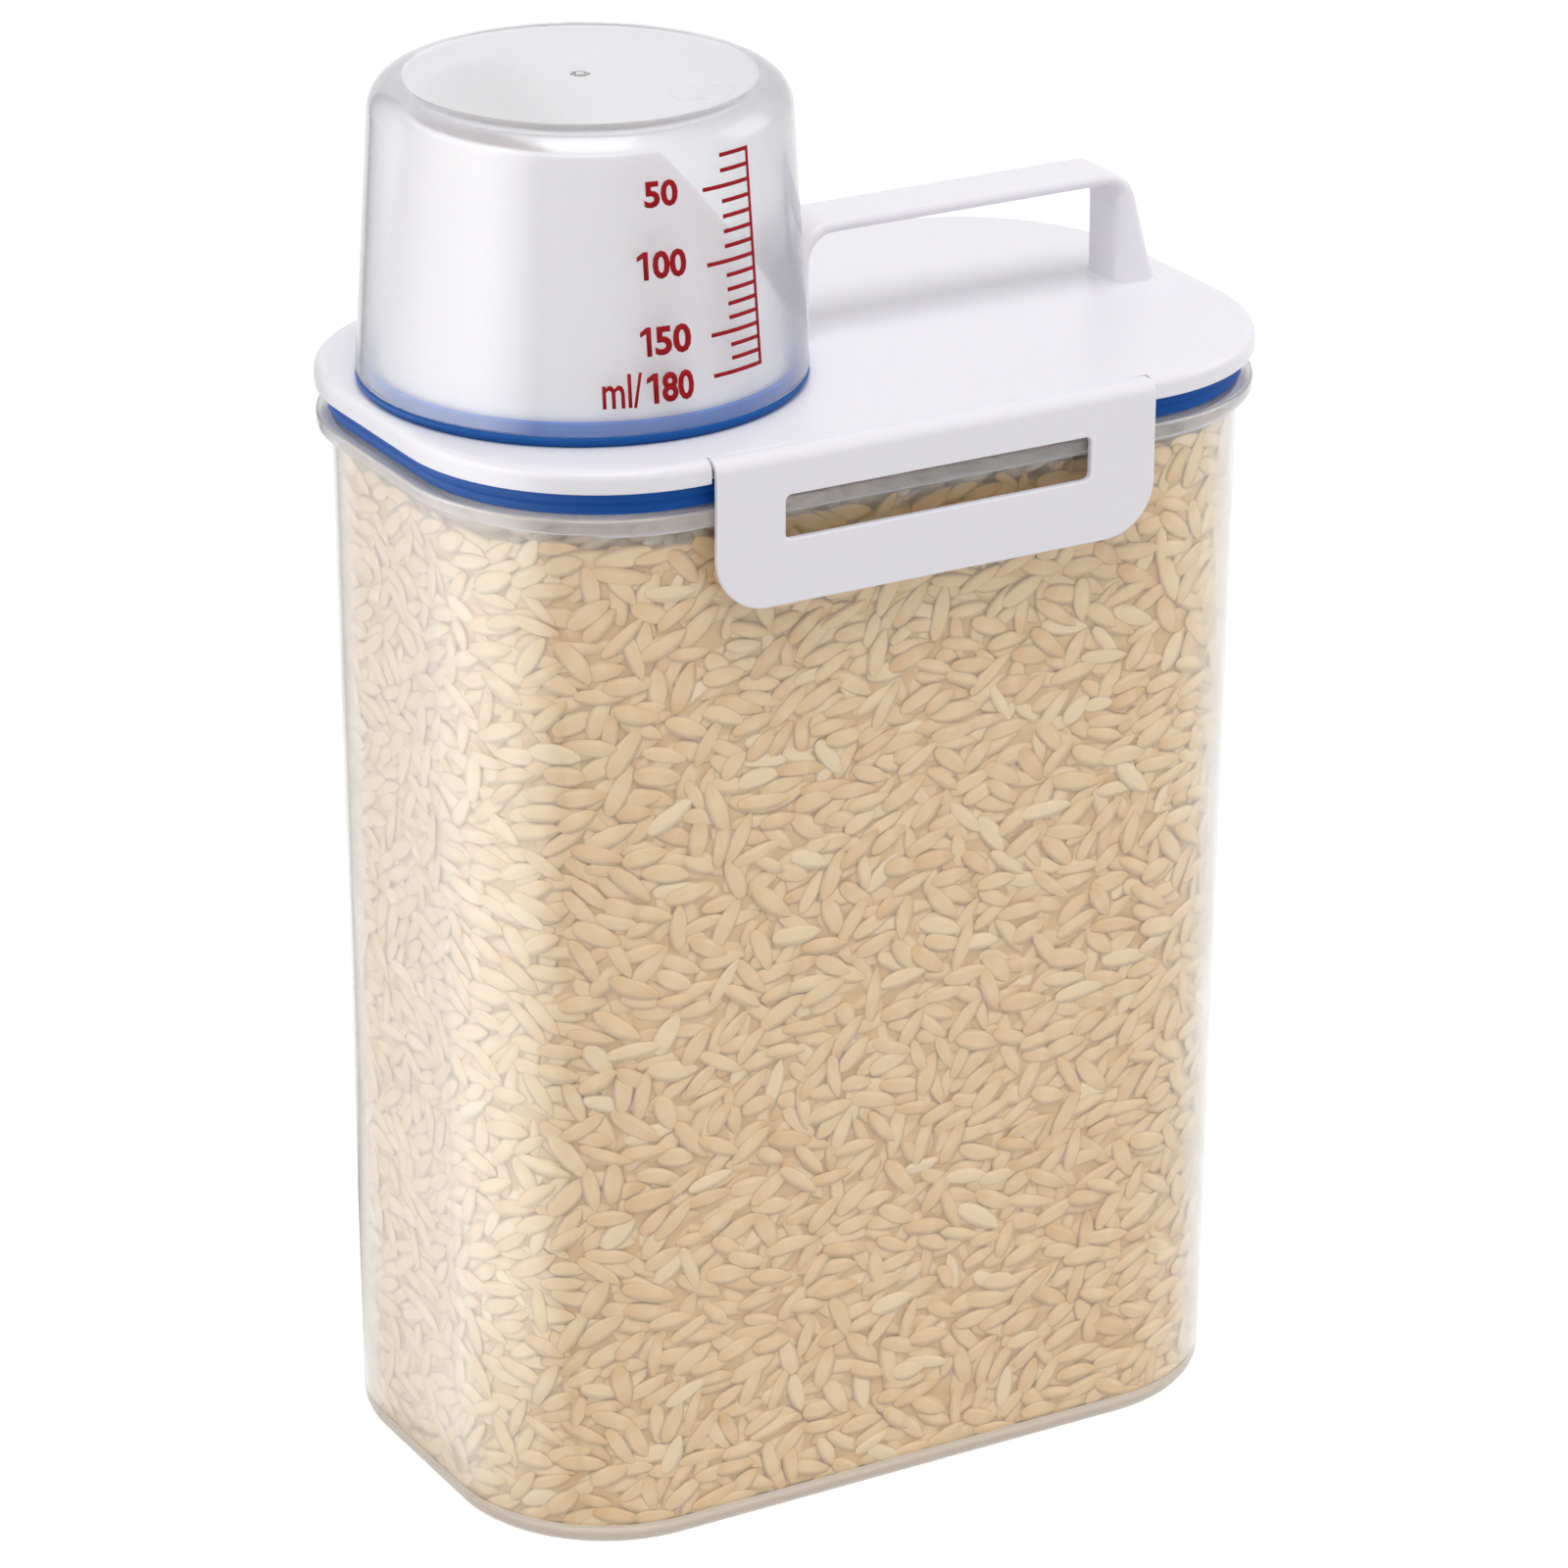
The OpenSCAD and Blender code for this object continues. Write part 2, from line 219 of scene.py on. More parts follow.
def loop(cols, half_x, half_y, radius, z, out=0.0):
    """One row of a rounded rectangle, grown by out: the centre of each column's corner plus
    the radius along the column's normal, at height z."""
    share_x, share_y, angle = cols.T
    half_x, half_y, radius = half_x + out, half_y + out, radius + out
    x = share_x * (half_x - radius) + radius * np.cos(angle)
    y = share_y * (half_y - radius) + radius * np.sin(angle)
    return points_at(x, y, z)


def filleted(corners, radii, steps):
    """A line through corners, each rounded to its radius: the arc touches both sides at the
    radius times the tangent of half the turn, and its points are steps equal parts of the
    turn. A radius of 0 keeps the corner."""
    corners = np.array(corners, float)
    line = [corners[:1]]
    for before, at, after, radius in zip(corners, corners[1:], corners[2:], radii[1:-1]):
        to = (at - before) / np.linalg.norm(at - before)
        on = (after - at) / np.linalg.norm(after - at)
        cross = to[0] * on[1] - to[1] * on[0]
        turn = math.atan2(cross, to @ on)
        if radius == 0 or abs(turn) < 1e-6:
            line.append(at[None])
            continue
        side = np.array([-to[1], to[0]]) * math.copysign(1, turn)
        centre = at - to * radius * math.tan(abs(turn) / 2) + side * radius
        swept = np.linspace(0, abs(turn), steps + 1)
        arc = np.outer(np.sin(swept), to) - np.outer(np.cos(swept), side)
        line.append(centre + radius * arc)
    line.append(corners[-1:])
    return np.vstack(line)


def turned(profile, centre_x, steps=144):
    """A surface of revolution: each profile point (radius, height) runs round the upright
    axis at centre_x."""
    angle = np.arange(steps) * 2 * math.pi / steps
    radius, height = np.asarray(profile, float).T
    x = centre_x + np.outer(radius, np.cos(angle))
    return points_at(x, np.outer(radius, np.sin(angle)), height[:, None])


def skin(grid, ring=True, closed=False, first_cap=False, last_cap=False):
    """Points and faces of a grid: one quad between each four neighbours. A ring joins the last
    column to the first, and a closed grid joins the last row to the first. A cap is one face
    over the first or the last row."""
    grid = np.asarray(grid)
    rows, cols = grid.shape[:2]
    index = np.arange(rows * cols).reshape(rows, cols)
    first, last = index[0].tolist(), index[-1].tolist()
    if ring:
        index = np.hstack([index, index[:, :1]])
    if closed:
        index = np.vstack([index, index[:1]])
    corners = [index[:-1, :-1], index[:-1, 1:], index[1:, 1:], index[1:, :-1]]
    faces = np.stack(corners, axis=-1).reshape(-1, 4).tolist()
    if first_cap:
        faces.append(first[::-1])
    if last_cap:
        faces.append(last)
    return grid.reshape(-1, 3), faces


def add_object(name, data):
    """A new object in the scene, with this mesh, curve, lamp or camera."""
    item = bpy.data.objects.new(name, data)
    bpy.context.scene.collection.objects.link(item)
    return item


def piece(name, shape, body, nodes, slot, *materials):
    """A mesh object from points in millimetres and faces, with the materials given. It rides on
    its body and stands for its CAD nodes. The slot is not used."""
    points, faces = shape
    mesh = bpy.data.meshes.new(name)
    mesh.from_pydata((np.asarray(points) * MM).tolist(), [], faces)
    mesh.validate()
    mesh.shade_smooth()
    mesh.set_sharp_from_angle(angle=math.radians(SMOOTH_ANGLE))
    for material in materials:
        mesh.materials.append(material)
    item = add_object(name, mesh)
    if body:
        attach(item, body)
    if nodes:
        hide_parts(*nodes)
    return item


def point_values(mesh, label, values):
    """Keeps one value for each point of a mesh under a label."""
    attribute = mesh.attributes.new(label, "FLOAT", "POINT")
    attribute.data.foreach_set("value", np.ravel(values).astype(np.float32))


def refinish(item, index, test):
    """Gives another of a piece's materials to the faces that pass a test, which gets the
    middle of a face, in millimetres, and its normal."""
    for face in item.data.polygons:
        if test(np.array(face.center) / MM, face.normal):
            face.material_index = index


def turned_over(shape):
    """A shape's points, and its faces seen from the other side."""
    points, faces = shape
    return points, [face[::-1] for face in faces]


def modified(item, label, kind, **options):
    """Adds a modifier with its options set."""
    modifier = item.modifiers.new(label, kind)
    for name, value in options.items():
        setattr(modifier, name, value)


def weighted(item):
    """Vertex normals that follow the large faces, so that flats look flat up to their edges."""
    modified(item, "even_normals", "WEIGHTED_NORMAL", keep_sharp=True, weight=100)


def bevelled(item, width, segments=3):
    """Rounds the edges that are still sharp."""
    modified(item, "soft_edges", "BEVEL", width=width * MM, segments=segments,
             limit_method="ANGLE", angle_limit=math.radians(BEVEL_ANGLE), use_clamp_overlap=True)


def thickened(item, thickness):
    """Gives a sheet its wall, on the side away from its normals."""
    modified(item, "wall", "SOLIDIFY", thickness=thickness * MM, offset=-1, use_even_offset=True)


# ---- materials

PLASTIC_IOR, SILICONE_IOR, RICE_IOR = 1.49, 1.42, 1.45
GLOSS_SWING = 0.16
SHADE_STOPS = (0.0, 0.3, 0.75, 1.0)


def node_of(tree, kind):
    """The node of this kind that a new node tree already has."""
    return next(node for node in tree.nodes if node.type == kind)


def fill_in(node, inputs):
    """Feeds a node's inputs, each given by its name or number. An output socket is linked to
    the input, and a number, a vector or a colour of red, green and blue is set on it."""
    for name, value in inputs.items():
        socket = node.inputs[name]
        if isinstance(value, bpy.types.NodeSocket):
            node.id_data.links.new(value, socket)
        elif socket.type == "RGBA":
            socket.default_value = (*value, 1)
        else:
            socket.default_value = value
    return node


def add_node(tree, kind, inputs=None, **options):
    """A new node with its options set and then its inputs fed. Returns its outputs."""
    node = tree.nodes.new(kind)
    for name, value in options.items():
        setattr(node, name, value)
    return fill_in(node, inputs or {}).outputs


def math_node(tree, operation, *inputs):
    """The result of a Math node, from numbers and sockets in their order."""
    return add_node(tree, "ShaderNodeMath", dict(enumerate(inputs)), operation=operation)[0]


def color_mix(tree, factor, first, second):
    """The mix of two colours: the first at a factor of 0 and the second at 1."""
    mixed = add_node(tree, "ShaderNodeMix", {"Factor": factor, "A": first, "B": second},
                     data_type="RGBA")
    return mixed["Result"]


def color_ramp(tree, factor, stops, colors):
    """A colour that runs through the colours at their stops as the factor rises."""
    shades = fill_in(tree.nodes.new("ShaderNodeValToRGB"), {"Fac": factor})
    ramp = shades.color_ramp.elements
    ramp[0].position, ramp[0].color = stops[0], (*colors[0], 1)
    ramp[1].position, ramp[1].color = stops[-1], (*colors[-1], 1)
    for stop, color in zip(stops[1:-1], colors[1:-1]):
        ramp.new(stop).color = (*color, 1)
    return shades.outputs["Color"]


def attribute_node(tree, label):
    """The value that a mesh keeps at its points under this label."""
    return add_node(tree, "ShaderNodeAttribute", attribute_name=label)["Fac"]


def texture_node(tree, kind, **inputs):
    """A procedural texture on Object coordinates."""
    place = add_node(tree, "ShaderNodeTexCoord")["Object"]
    return add_node(tree, kind, {"Vector": place, **inputs})


def node_group(name, inputs, outputs):
    """An empty shader group with its named sockets. Returns it with its two end nodes."""
    group = bpy.data.node_groups.new(name, "ShaderNodeTree")
    for label, kind, value in inputs:
        socket = group.interface.new_socket(name=label, in_out="INPUT", socket_type=kind)
        socket.default_value = value
    for label, kind in outputs:
        group.interface.new_socket(name=label, in_out="OUTPUT", socket_type=kind)
    return group, group.nodes.new("NodeGroupInput"), group.nodes.new("NodeGroupOutput")


def moulded_skin_group():
    """The surface of a moulded part: slow changes of tone and gloss, and a very fine grain.
    Color is the colour times one plus Tone times a slow noise, Roughness follows the same
    noise, and Normal comes from a fine noise."""
    group, start, end = node_group(
        "moulded_skin",
        [("Color", "NodeSocketColor", (0.8, 0.8, 0.8, 1)),
         ("Roughness", "NodeSocketFloat", 0.35),
         ("Tone", "NodeSocketFloat", 0.03),
         ("Cloud Scale", "NodeSocketFloat", 40.0),
         ("Grain Scale", "NodeSocketFloat", 1500.0),
         ("Grain Depth", "NodeSocketFloat", 0.05)],
        [("Color", "NodeSocketColor"), ("Roughness", "NodeSocketFloat"),
         ("Normal", "NodeSocketVector")])
    given = start.outputs
    cloud = texture_node(group, "ShaderNodeTexNoise", Scale=given["Cloud Scale"], Detail=3.0)
    swing = math_node(group, "SUBTRACT", cloud["Fac"], 0.5)
    amount = math_node(group, "MULTIPLY_ADD", swing, given["Tone"], 1.0)
    shade = add_node(group, "ShaderNodeVectorMath", {0: given["Color"], "Scale": amount},
                     operation="SCALE")
    gloss = math_node(group, "MULTIPLY_ADD", swing, GLOSS_SWING, given["Roughness"])
    grain = texture_node(group, "ShaderNodeTexNoise", Scale=given["Grain Scale"], Detail=2.0)
    bump = add_node(group, "ShaderNodeBump", {
        "Strength": given["Grain Depth"], "Distance": 0.0002, "Height": grain["Fac"]})
    fill_in(end, {"Color": shade[0], "Roughness": gloss, "Normal": bump["Normal"]})
    return group


SKIN = moulded_skin_group()


def new_material(name):
    """A node material, with its node tree and its Principled shader."""
    material = bpy.data.materials.new(name)
    material.use_nodes = True
    return material, material.node_tree, node_of(material.node_tree, "BSDF_PRINCIPLED")


def with_skin(tree, shader, color, roughness, tone, cloud_scale, grain_scale=900.0,
              grain_depth=0.0):
    """Puts the moulded skin in a material's tree and links it to the shader. The colour is
    red, green and blue, or a socket."""
    surface = add_node(tree, "ShaderNodeGroup", {
        "Color": color, "Roughness": roughness, "Tone": tone, "Cloud Scale": cloud_scale,
        "Grain Scale": grain_scale, "Grain Depth": grain_depth}, node_tree=SKIN)
    fill_in(shader, {"Base Color": surface["Color"], "Roughness": surface["Roughness"],
                     "Normal": surface["Normal"]})


def white_plastic(name, color, grain_depth, inside, depth):
    """White polypropylene with a satin moulded skin. Inside is the share of light that
    scatters under the surface, as deep as depth."""
    material, tree, shader = new_material(name)
    with_skin(tree, shader, color, roughness=0.34, tone=0.03, cloud_scale=22.0,
              grain_scale=1400.0, grain_depth=grain_depth)
    fill_in(shader, {"IOR": PLASTIC_IOR, "Subsurface Weight": inside, "Subsurface Scale": depth})
    return material


def blue_silicone(name, color):
    """Soft blue silicone rubber."""
    material, tree, shader = new_material(name)
    with_skin(tree, shader, color, roughness=0.5, tone=0.12, cloud_scale=60.0,
              grain_scale=2200.0, grain_depth=0.2)
    fill_in(shader, {"IOR": SILICONE_IOR, "Specular IOR Level": 0.18})
    return material


def clear_plastic(name, color, edge, roughness, clarity):
    """Clear moulded styrene, with another tint where it is seen edge on. Where that tint is darker
    than the colour, it is partly the plastic's own tint over the longer path and partly painted
    shade for the dark lines at edges and silhouettes. What isn't clarity is a faint white haze.
    Lamps and scattered light pass straight through it, so that what is inside is lit."""
    material, tree, shader = new_material(name)
    # share of the edge-on tint; where that tint is darker it is partly painted shade along the
    # edges
    slant = add_node(tree, "ShaderNodeLayerWeight", {"Blend": 0.45})["Facing"]
    with_skin(tree, shader, color_mix(tree, slant, color, edge), roughness, tone=0.02,
              cloud_scale=30.0)
    fill_in(shader, {"IOR": PLASTIC_IOR, "Transmission Weight": clarity})
    rays = add_node(tree, "ShaderNodeLightPath")
    either = math_node(tree, "MAXIMUM", rays["Is Shadow Ray"], rays["Is Diffuse Ray"])
    passing = add_node(tree, "ShaderNodeBsdfTransparent", {"Color": (0.99, 0.99, 0.99)})
    mix = add_node(tree, "ShaderNodeMixShader", {
        "Fac": either, 1: shader.outputs["BSDF"], 2: passing["BSDF"]})
    fill_in(node_of(tree, "OUTPUT_MATERIAL"), {"Surface": mix["Shader"]})
    return material


def rice_grain_material(name, shades, chalk_white):
    """Polished long grain rice: cream, each grain a little lighter or darker, with a whiter
    belly and clearer tips. Takes the shades from the darkest grain to the lightest."""
    material, tree, shader = new_material(name)
    shade = color_ramp(tree, attribute_node(tree, "tone"), SHADE_STOPS, shades)
    mottle = texture_node(tree, "ShaderNodeTexNoise", Scale=450.0, Detail=2.0)["Fac"]
    chalk = math_node(tree, "MULTIPLY", mottle, attribute_node(tree, "belly"))
    bump = add_node(tree, "ShaderNodeBump", {
        "Strength": 0.15, "Distance": 0.0003, "Height": mottle})
    fill_in(shader, {
        "Base Color": color_mix(tree, chalk, shade, chalk_white),
        "Normal": bump["Normal"],
        "Roughness": 0.55,
        "IOR": RICE_IOR,
        "Specular IOR Level": 0.2,
        "Subsurface Weight": 0.3,
        "Subsurface Scale": 0.0004,
        "Subsurface Radius": (1.0, 0.8, 0.6),
    })
    return material


def rice_bulk_material(name, light, dark):
    """The rice behind the outer grains: a soft mottle of grains, in painted shade a little darker
    than its grains and darker towards the edge of each cell.
    """
    material, tree, shader = new_material(name)
    # darker towards each cell's edge: painted shade between the unseen grains
    cells = texture_node(tree, "ShaderNodeTexVoronoi", Scale=260.0)["Distance"]
    bump = add_node(tree, "ShaderNodeBump", {"Strength": 0.5, "Distance": 0.001, "Height": cells},
                    invert=True)
    fill_in(shader, {
        "Base Color": color_ramp(tree, cells, (0.0, 1.0), (light, dark)),
        "Normal": bump["Normal"],
        "Roughness": 0.7,
        "Specular IOR Level": 0.2,
    })
    return material


def red_ink_material():
    """Red print on the cup, a little uneven in its cover."""
    material, tree, shader = new_material("red_scale_ink")
    with_skin(tree, shader, (0.31, 0.004, 0.008), roughness=0.55, tone=0.25, cloud_scale=500.0,
              grain_scale=1800.0, grain_depth=0.1)
    fill_in(shader, {"Specular IOR Level": 0.12})
    return material


WHITE = white_plastic("white_polypropylene", (0.815, 0.797, 0.845), 0.12, 0.12, 0.0015)
# the spout's white is lighter than the lid's: painted light that brightens the spout behind the
# cup
SPOUT_WHITE_PAINTED_LIGHTER = white_plastic("white_spout_painted_lighter", (0.90, 0.885, 0.92), 0.0, 0.4, 0.005)
BLUE_SEAL = blue_silicone("blue_lid_seal", (0.004, 0.078, 0.34))
BLUE_RING = blue_silicone("blue_cup_seal", (0.003, 0.078, 0.31))
# the upstand's lighter blue is a painted glow of the spout's white light showing through its thin
# wall
BLUE_UPSTAND_PAINTED_GLOW = blue_silicone("blue_upstand_painted_glow", (0.035, 0.17, 0.56))
CLEAR_BIN = clear_plastic(
    "clear_container", (0.97, 0.965, 0.965), (0.99, 0.985, 0.985), 0.18, 0.985)
# foot: hazy plastic whose tan colour is a painted reflection of the rice, with a darker edge-on
# tint that paints the shadow line along its base
HAZY_FOOT_PAINTED_REFLECTION_AND_SHADE = clear_plastic(
    "clear_foot_painted_reflection_and_shade", (0.92, 0.81, 0.69), (0.55, 0.47, 0.40), 0.25, 0.22)
# rim and rib: hazier plastic, and a grey-violet tint, darker still edge on, that is painted shade
# from the lid hanging over it
HAZY_RIM_PAINTED_SHADE = clear_plastic(
    "clear_rim_painted_shade", (0.90, 0.885, 0.91), (0.78, 0.77, 0.80), 0.16, 0.74)
# the cup's dark edge-on tint is painted shade for the grey lines along its silhouettes
CLEAR_CUP = clear_plastic(
    "clear_cup", (0.90, 0.895, 0.915), (0.50, 0.50, 0.55), 0.15, 0.96)
FROSTED = clear_plastic(
    "frosted_cup_end", (0.93, 0.925, 0.955), (0.85, 0.85, 0.88), 0.25, 0.6)
RICE = rice_grain_material(
    "polished_rice",
    [(0.72, 0.445, 0.185), (0.77, 0.51, 0.24), (0.81, 0.56, 0.285), (0.88, 0.67, 0.41)],
    (0.92, 0.72, 0.47))
# the open top's rice is a lighter copy of the same rice: painted light against the shade under the
# lid
RICE_TOP_PAINTED_LIGHTER = rice_grain_material(
    "polished_rice_top_painted_lighter",
    [(0.92, 0.72, 0.48), (0.94, 0.76, 0.52), (0.96, 0.80, 0.57), (0.98, 0.87, 0.69)],
    (0.98, 0.90, 0.75))
# the wall's bulk is a little darker than its grains: painted shade of the rice deep behind them
RICE_BULK = rice_bulk_material("rice_bulk", (0.76, 0.515, 0.25), (0.68, 0.44, 0.195))
# the top bulk is lighter for the same reason: painted light
RICE_BULK_TOP_PAINTED_LIGHTER = rice_bulk_material("rice_bulk_top_painted_lighter", (0.94, 0.76, 0.52), (0.90, 0.70, 0.45))
RED_INK = red_ink_material()


# ---- container

def container_wall(z):
    """Half sizes and corner radius of the outside wall at height z: straight from the top of
    the foot to the underside of the rim, and level beyond."""
    share = np.clip((np.asarray(z, float) - FOOT_R) / (RIM_TOP - RIM_T - FOOT_R), 0, 1)
    top_x, top_y, top_r = RIM_X - RIM_OUT, RIM_Y - RIM_OUT, RIM_R - RIM_OUT
    half_x = top_x - DRAFT_X * (1 - share)
    half_y = top_y - DRAFT_Y * (1 - share)
    radius = BASE_R + (top_r - BASE_R) * share
    return half_x, half_y, radius


def container_shape():
    """The container's section carried round its plan: the section gives the distance out from
    the wall and the height, and the plan's half sizes and radius grow by that distance. The
    catch rib is the part of the rim's underside that hangs lower between its two ends. Beyond
    them its rows are drawn up almost level with the underside."""
    rim_low = RIM_TOP - RIM_T
    rib_low = rim_low - RIB_DROP
    inner_foot = FOOT_R - WALL
    corners = [
        (-FOOT_R - FOOT_RING - UNDER_FLAT, FOOT_RECESS),
        (-FOOT_R - FOOT_RING, FOOT_RECESS),
        (-FOOT_R - FOOT_RING, 0),
        (0, 0),
        (0, rib_low),
        (RIM_OUT - RIB_SET, rib_low),
        (RIM_OUT - RIB_SET, rim_low),
        (RIM_OUT, rim_low),
        (RIM_OUT, RIM_TOP),
        (-WALL, RIM_TOP),
        (-WALL, FLOOR_T),
        (-WALL - inner_foot - FLOOR_FLAT, FLOOR_T),
    ]
    radii = [0, 0.3, 0.3, FOOT_R, 0.25, 0.2, 0.1, RIM_EDGE, RIM_EDGE, 0.4, inner_foot, 0]
    section = filleted(corners, radii, 6)
    cols = columns(CORNER_STEPS, SIDE_STOPS)
    rows = []
    for out, height in section:
        row = loop(cols, *container_wall(height), height, out)
        if rib_low - 0.01 <= height < rim_low - 0.001 and out > 0.3:
            plain = (np.abs(row[:, 0]) > RIB_HALF) | (np.abs(row[:, 1]) < RIM_Y / 3)
            row[plain, 2] = rim_low - RIB_FADE * (rim_low - height)
        rows.append(row)
    return skin(rows, first_cap=True, last_cap=True)


container = piece("clear_container", container_shape(), "container", ["container"],
                  "clear_plastic", CLEAR_BIN, HAZY_RIM_PAINTED_SHADE, HAZY_FOOT_PAINTED_REFLECTION_AND_SHADE)
# faces of the rim and the rib take the rim's hazier plastic and painted shade
refinish(container, 1, lambda middle, normal: middle[2] > RIM_TOP - RIM_T - RIB_DROP - 0.2)
# faces below the top of the foot's rounding take the foot's painted reflection and shade
refinish(container, 2, lambda middle, normal: middle[2] < FOOT_R)
weighted(container)


# ---- rice

MID_X, MID_Y, MID_R = container_wall(RIM_TOP / 2)
HALF_RUN_X, HALF_RUN_Y = MID_X - MID_R, MID_Y - MID_R
WALL_ARC = (MID_R - WALL) * math.pi / 2
WALL_LENGTH = 4 * (HALF_RUN_X + HALF_RUN_Y + WALL_ARC)
BED_X, BED_Y = MID_X - WALL, MID_Y - WALL


def wall_place(distance, height, depth):
    """A point against the inside of the container: distance along the wall, height, and depth
    in from the wall. The plan is four straights and four quarter turns. The middle of the
    turn and the direction of the normal both change in proportion to the distance."""
    lengths = [WALL_ARC, HALF_RUN_X * 2, WALL_ARC, HALF_RUN_Y * 2] * 2
    stops = np.concatenate([[0], np.cumsum(lengths)])
    share_x = np.interp(distance, stops, [1, 1, -1, -1, -1, -1, 1, 1, 1])
    share_y = np.interp(distance, stops, [1, 1, 1, 1, -1, -1, -1, -1, 1])
    quarter = np.interp(distance, stops, [0, 1, 1, 2, 2, 3, 3, 4, 4])
    half_x, half_y, radius = container_wall(height)
    angle = quarter * math.pi / 2
    reach = radius - WALL - depth
    x = share_x * (half_x - radius) + reach * np.cos(angle)
    y = share_y * (half_y - radius) + reach * np.sin(angle)
    return points_at(x, y, height)


def cells_between(reach):
    """The places of the cells from -reach to reach."""
    return np.arange(-reach, reach + RICE_CELL / 2, RICE_CELL)


def pour(width, height, count, deepest, seed, wraps=False, keep=None):
    """Lays grains one by one against a flat wall of that width and height. Each grain falls
    towards the wall until it meets the wall or earlier grains, and of several places tried it
    takes the one nearest the wall. The heights met under its two halves give its tilt. Grains
    that would lie deeper than deepest are left out. Returns one row per grain: place across
    and up, angle, depth, tilt, length, width, thickness."""
    random = np.random.default_rng(seed)
    cells_x, cells_y = int(width / RICE_CELL), int(height / RICE_CELL)
    surface = np.zeros((cells_x, cells_y))
    along, over = np.meshgrid(cells_between(PATCH_L), cells_between(PATCH_W))
    along, over = along.ravel(), over.ravel()
    lengths = GRAIN_L * np.clip(random.normal(*L_SPREAD, count), *L_SHARES)
    widths = GRAIN_W * random.uniform(*W_SHARES, count)
    thick = GRAIN_T * random.uniform(*T_SHARES, count)
    laid = []
    for length, grain_w, grain_t in zip(lengths, widths, thick):
        x = random.uniform(0, width, PLACES_TRIED)
        y = random.uniform(0, height, PLACES_TRIED)
        angle = np.radians(random.normal(GRAIN_LIE, GRAIN_SPREAD, PLACES_TRIED))
        reach_a, reach_o = GRAIN_NESTLE * length / 2, GRAIN_NESTLE * grain_w / 2
        inside = (np.abs(along) < reach_a) & (np.abs(over) < reach_o)
        a, o = along[inside], over[inside]
        half = GRAIN_SQUEEZE * grain_t / 2 * np.sqrt(
            np.clip(1 - (a / reach_a) ** 4, 0.05, 1) * np.clip(1 - (o / reach_o) ** 2, 0.1, 1))
        cos, sin = np.cos(angle)[:, None], np.sin(angle)[:, None]
        ix = np.floor((x[:, None] + a * cos - o * sin) / RICE_CELL).astype(int)
        iy = np.floor((y[:, None] + a * sin + o * cos) / RICE_CELL).astype(int)
        fits = (iy.min(1) >= 0) & (iy.max(1) < cells_y)
        if wraps:
            ix %= cells_x
        else:
            fits &= (ix.min(1) >= 0) & (ix.max(1) < cells_x)
        ix, iy = np.clip(ix, 0, cells_x - 1), np.clip(iy, 0, cells_y - 1)
        if keep is not None:
            fits &= keep(ix * RICE_CELL, iy * RICE_CELL).all(axis=1)
        meets = surface[ix, iy] + half
        low, high = meets[:, a < 0].max(1), meets[:, a >= 0].max(1)
        tilt = np.clip((high - low) / (length / 2), -STEEPEST, STEEPEST)
        depth = (meets - tilt[:, None] * a).max(1)
        best = np.where(fits, depth, np.inf).argmin()
        if not fits[best] or depth[best] > deepest:
            continue
        lies = depth[best] + tilt[best] * a + half
        surface[ix[best], iy[best]] = np.maximum(surface[ix[best], iy[best]], lies)
        laid.append((x[best], y[best], angle[best], depth[best], tilt[best],
                     length, grain_w, grain_t))
    return np.array(laid)


def grain_shells(laid, seed):
    """The grains of a layer as one array of points, before they are bent onto their wall: a
    blunt spindle of rings and two tips, wider than thick, a little curved and rolled, and more
    pointed at one end. Returns the points' places across, up and deep, with their tone and
    how far they are in the grain's belly, one row per grain."""
    random = np.random.default_rng(seed)
    count = len(laid)
    across, up, angle, depth, tilt, length, width, thick = laid.T[:, :, None]
    turn = np.arange(RING_SIDES) * 2 * math.pi / RING_SIDES
    bow = random.uniform(-GRAIN_BOW, GRAIN_BOW, count)[:, None]
    roll = random.uniform(-GRAIN_ROLL, GRAIN_ROLL, count)[:, None]
    along = np.append(np.repeat(RING_PLACES, RING_SIDES), [-1, 1]) * length / 2
    flat = np.append(np.outer(RING_SIZES, np.cos(turn)), [0, 0]) * width / 2
    deep = np.append(np.outer(RING_SIZES, np.sin(turn)), [0, 0]) * thick / 2
    flat, deep = (flat * np.cos(roll) - deep * np.sin(roll),
                  flat * np.sin(roll) * ROLL_PRESSED + deep * np.cos(roll))
    reach = along / (length / 2)
    flat = flat + bow * (1 - reach ** 2)
    u = across + along * np.cos(angle) - flat * np.sin(angle)
    v = up + along * np.sin(angle) + flat * np.cos(angle)
    d = np.maximum(depth + tilt * along + deep, 0.02)
    belly = np.clip(1 - np.abs(reach) * 1.15, 0, 1)
    tone = np.clip(random.normal(*TONE_SPREAD, count), 0, 1)[:, None]
    return u, v, d, np.broadcast_to(tone, d.shape), belly


def grain_faces(count):
    """Faces of the grains: quads between the rings, and a fan of triangles at each tip."""
    rings = len(RING_PLACES)
    ring = np.arange(rings * RING_SIDES).reshape(rings, RING_SIDES)
    after = np.roll(ring, -1, axis=1)
    quads = np.stack([ring[:-1], after[:-1], after[1:], ring[1:]], axis=-1).reshape(-1, 4)
    low, high = ring.size, ring.size + 1
    fan_low = np.stack([after[0], ring[0], np.full(RING_SIDES, low)], axis=-1)
    fan_high = np.stack([ring[-1], after[-1], np.full(RING_SIDES, high)], axis=-1)
    start = (np.arange(count) * (ring.size + 2))[:, None, None]
    quads = (quads[None] + start).reshape(-1, 4)
    fans = (np.vstack([fan_low, fan_high])[None] + start).reshape(-1, 3)
    return quads, fans


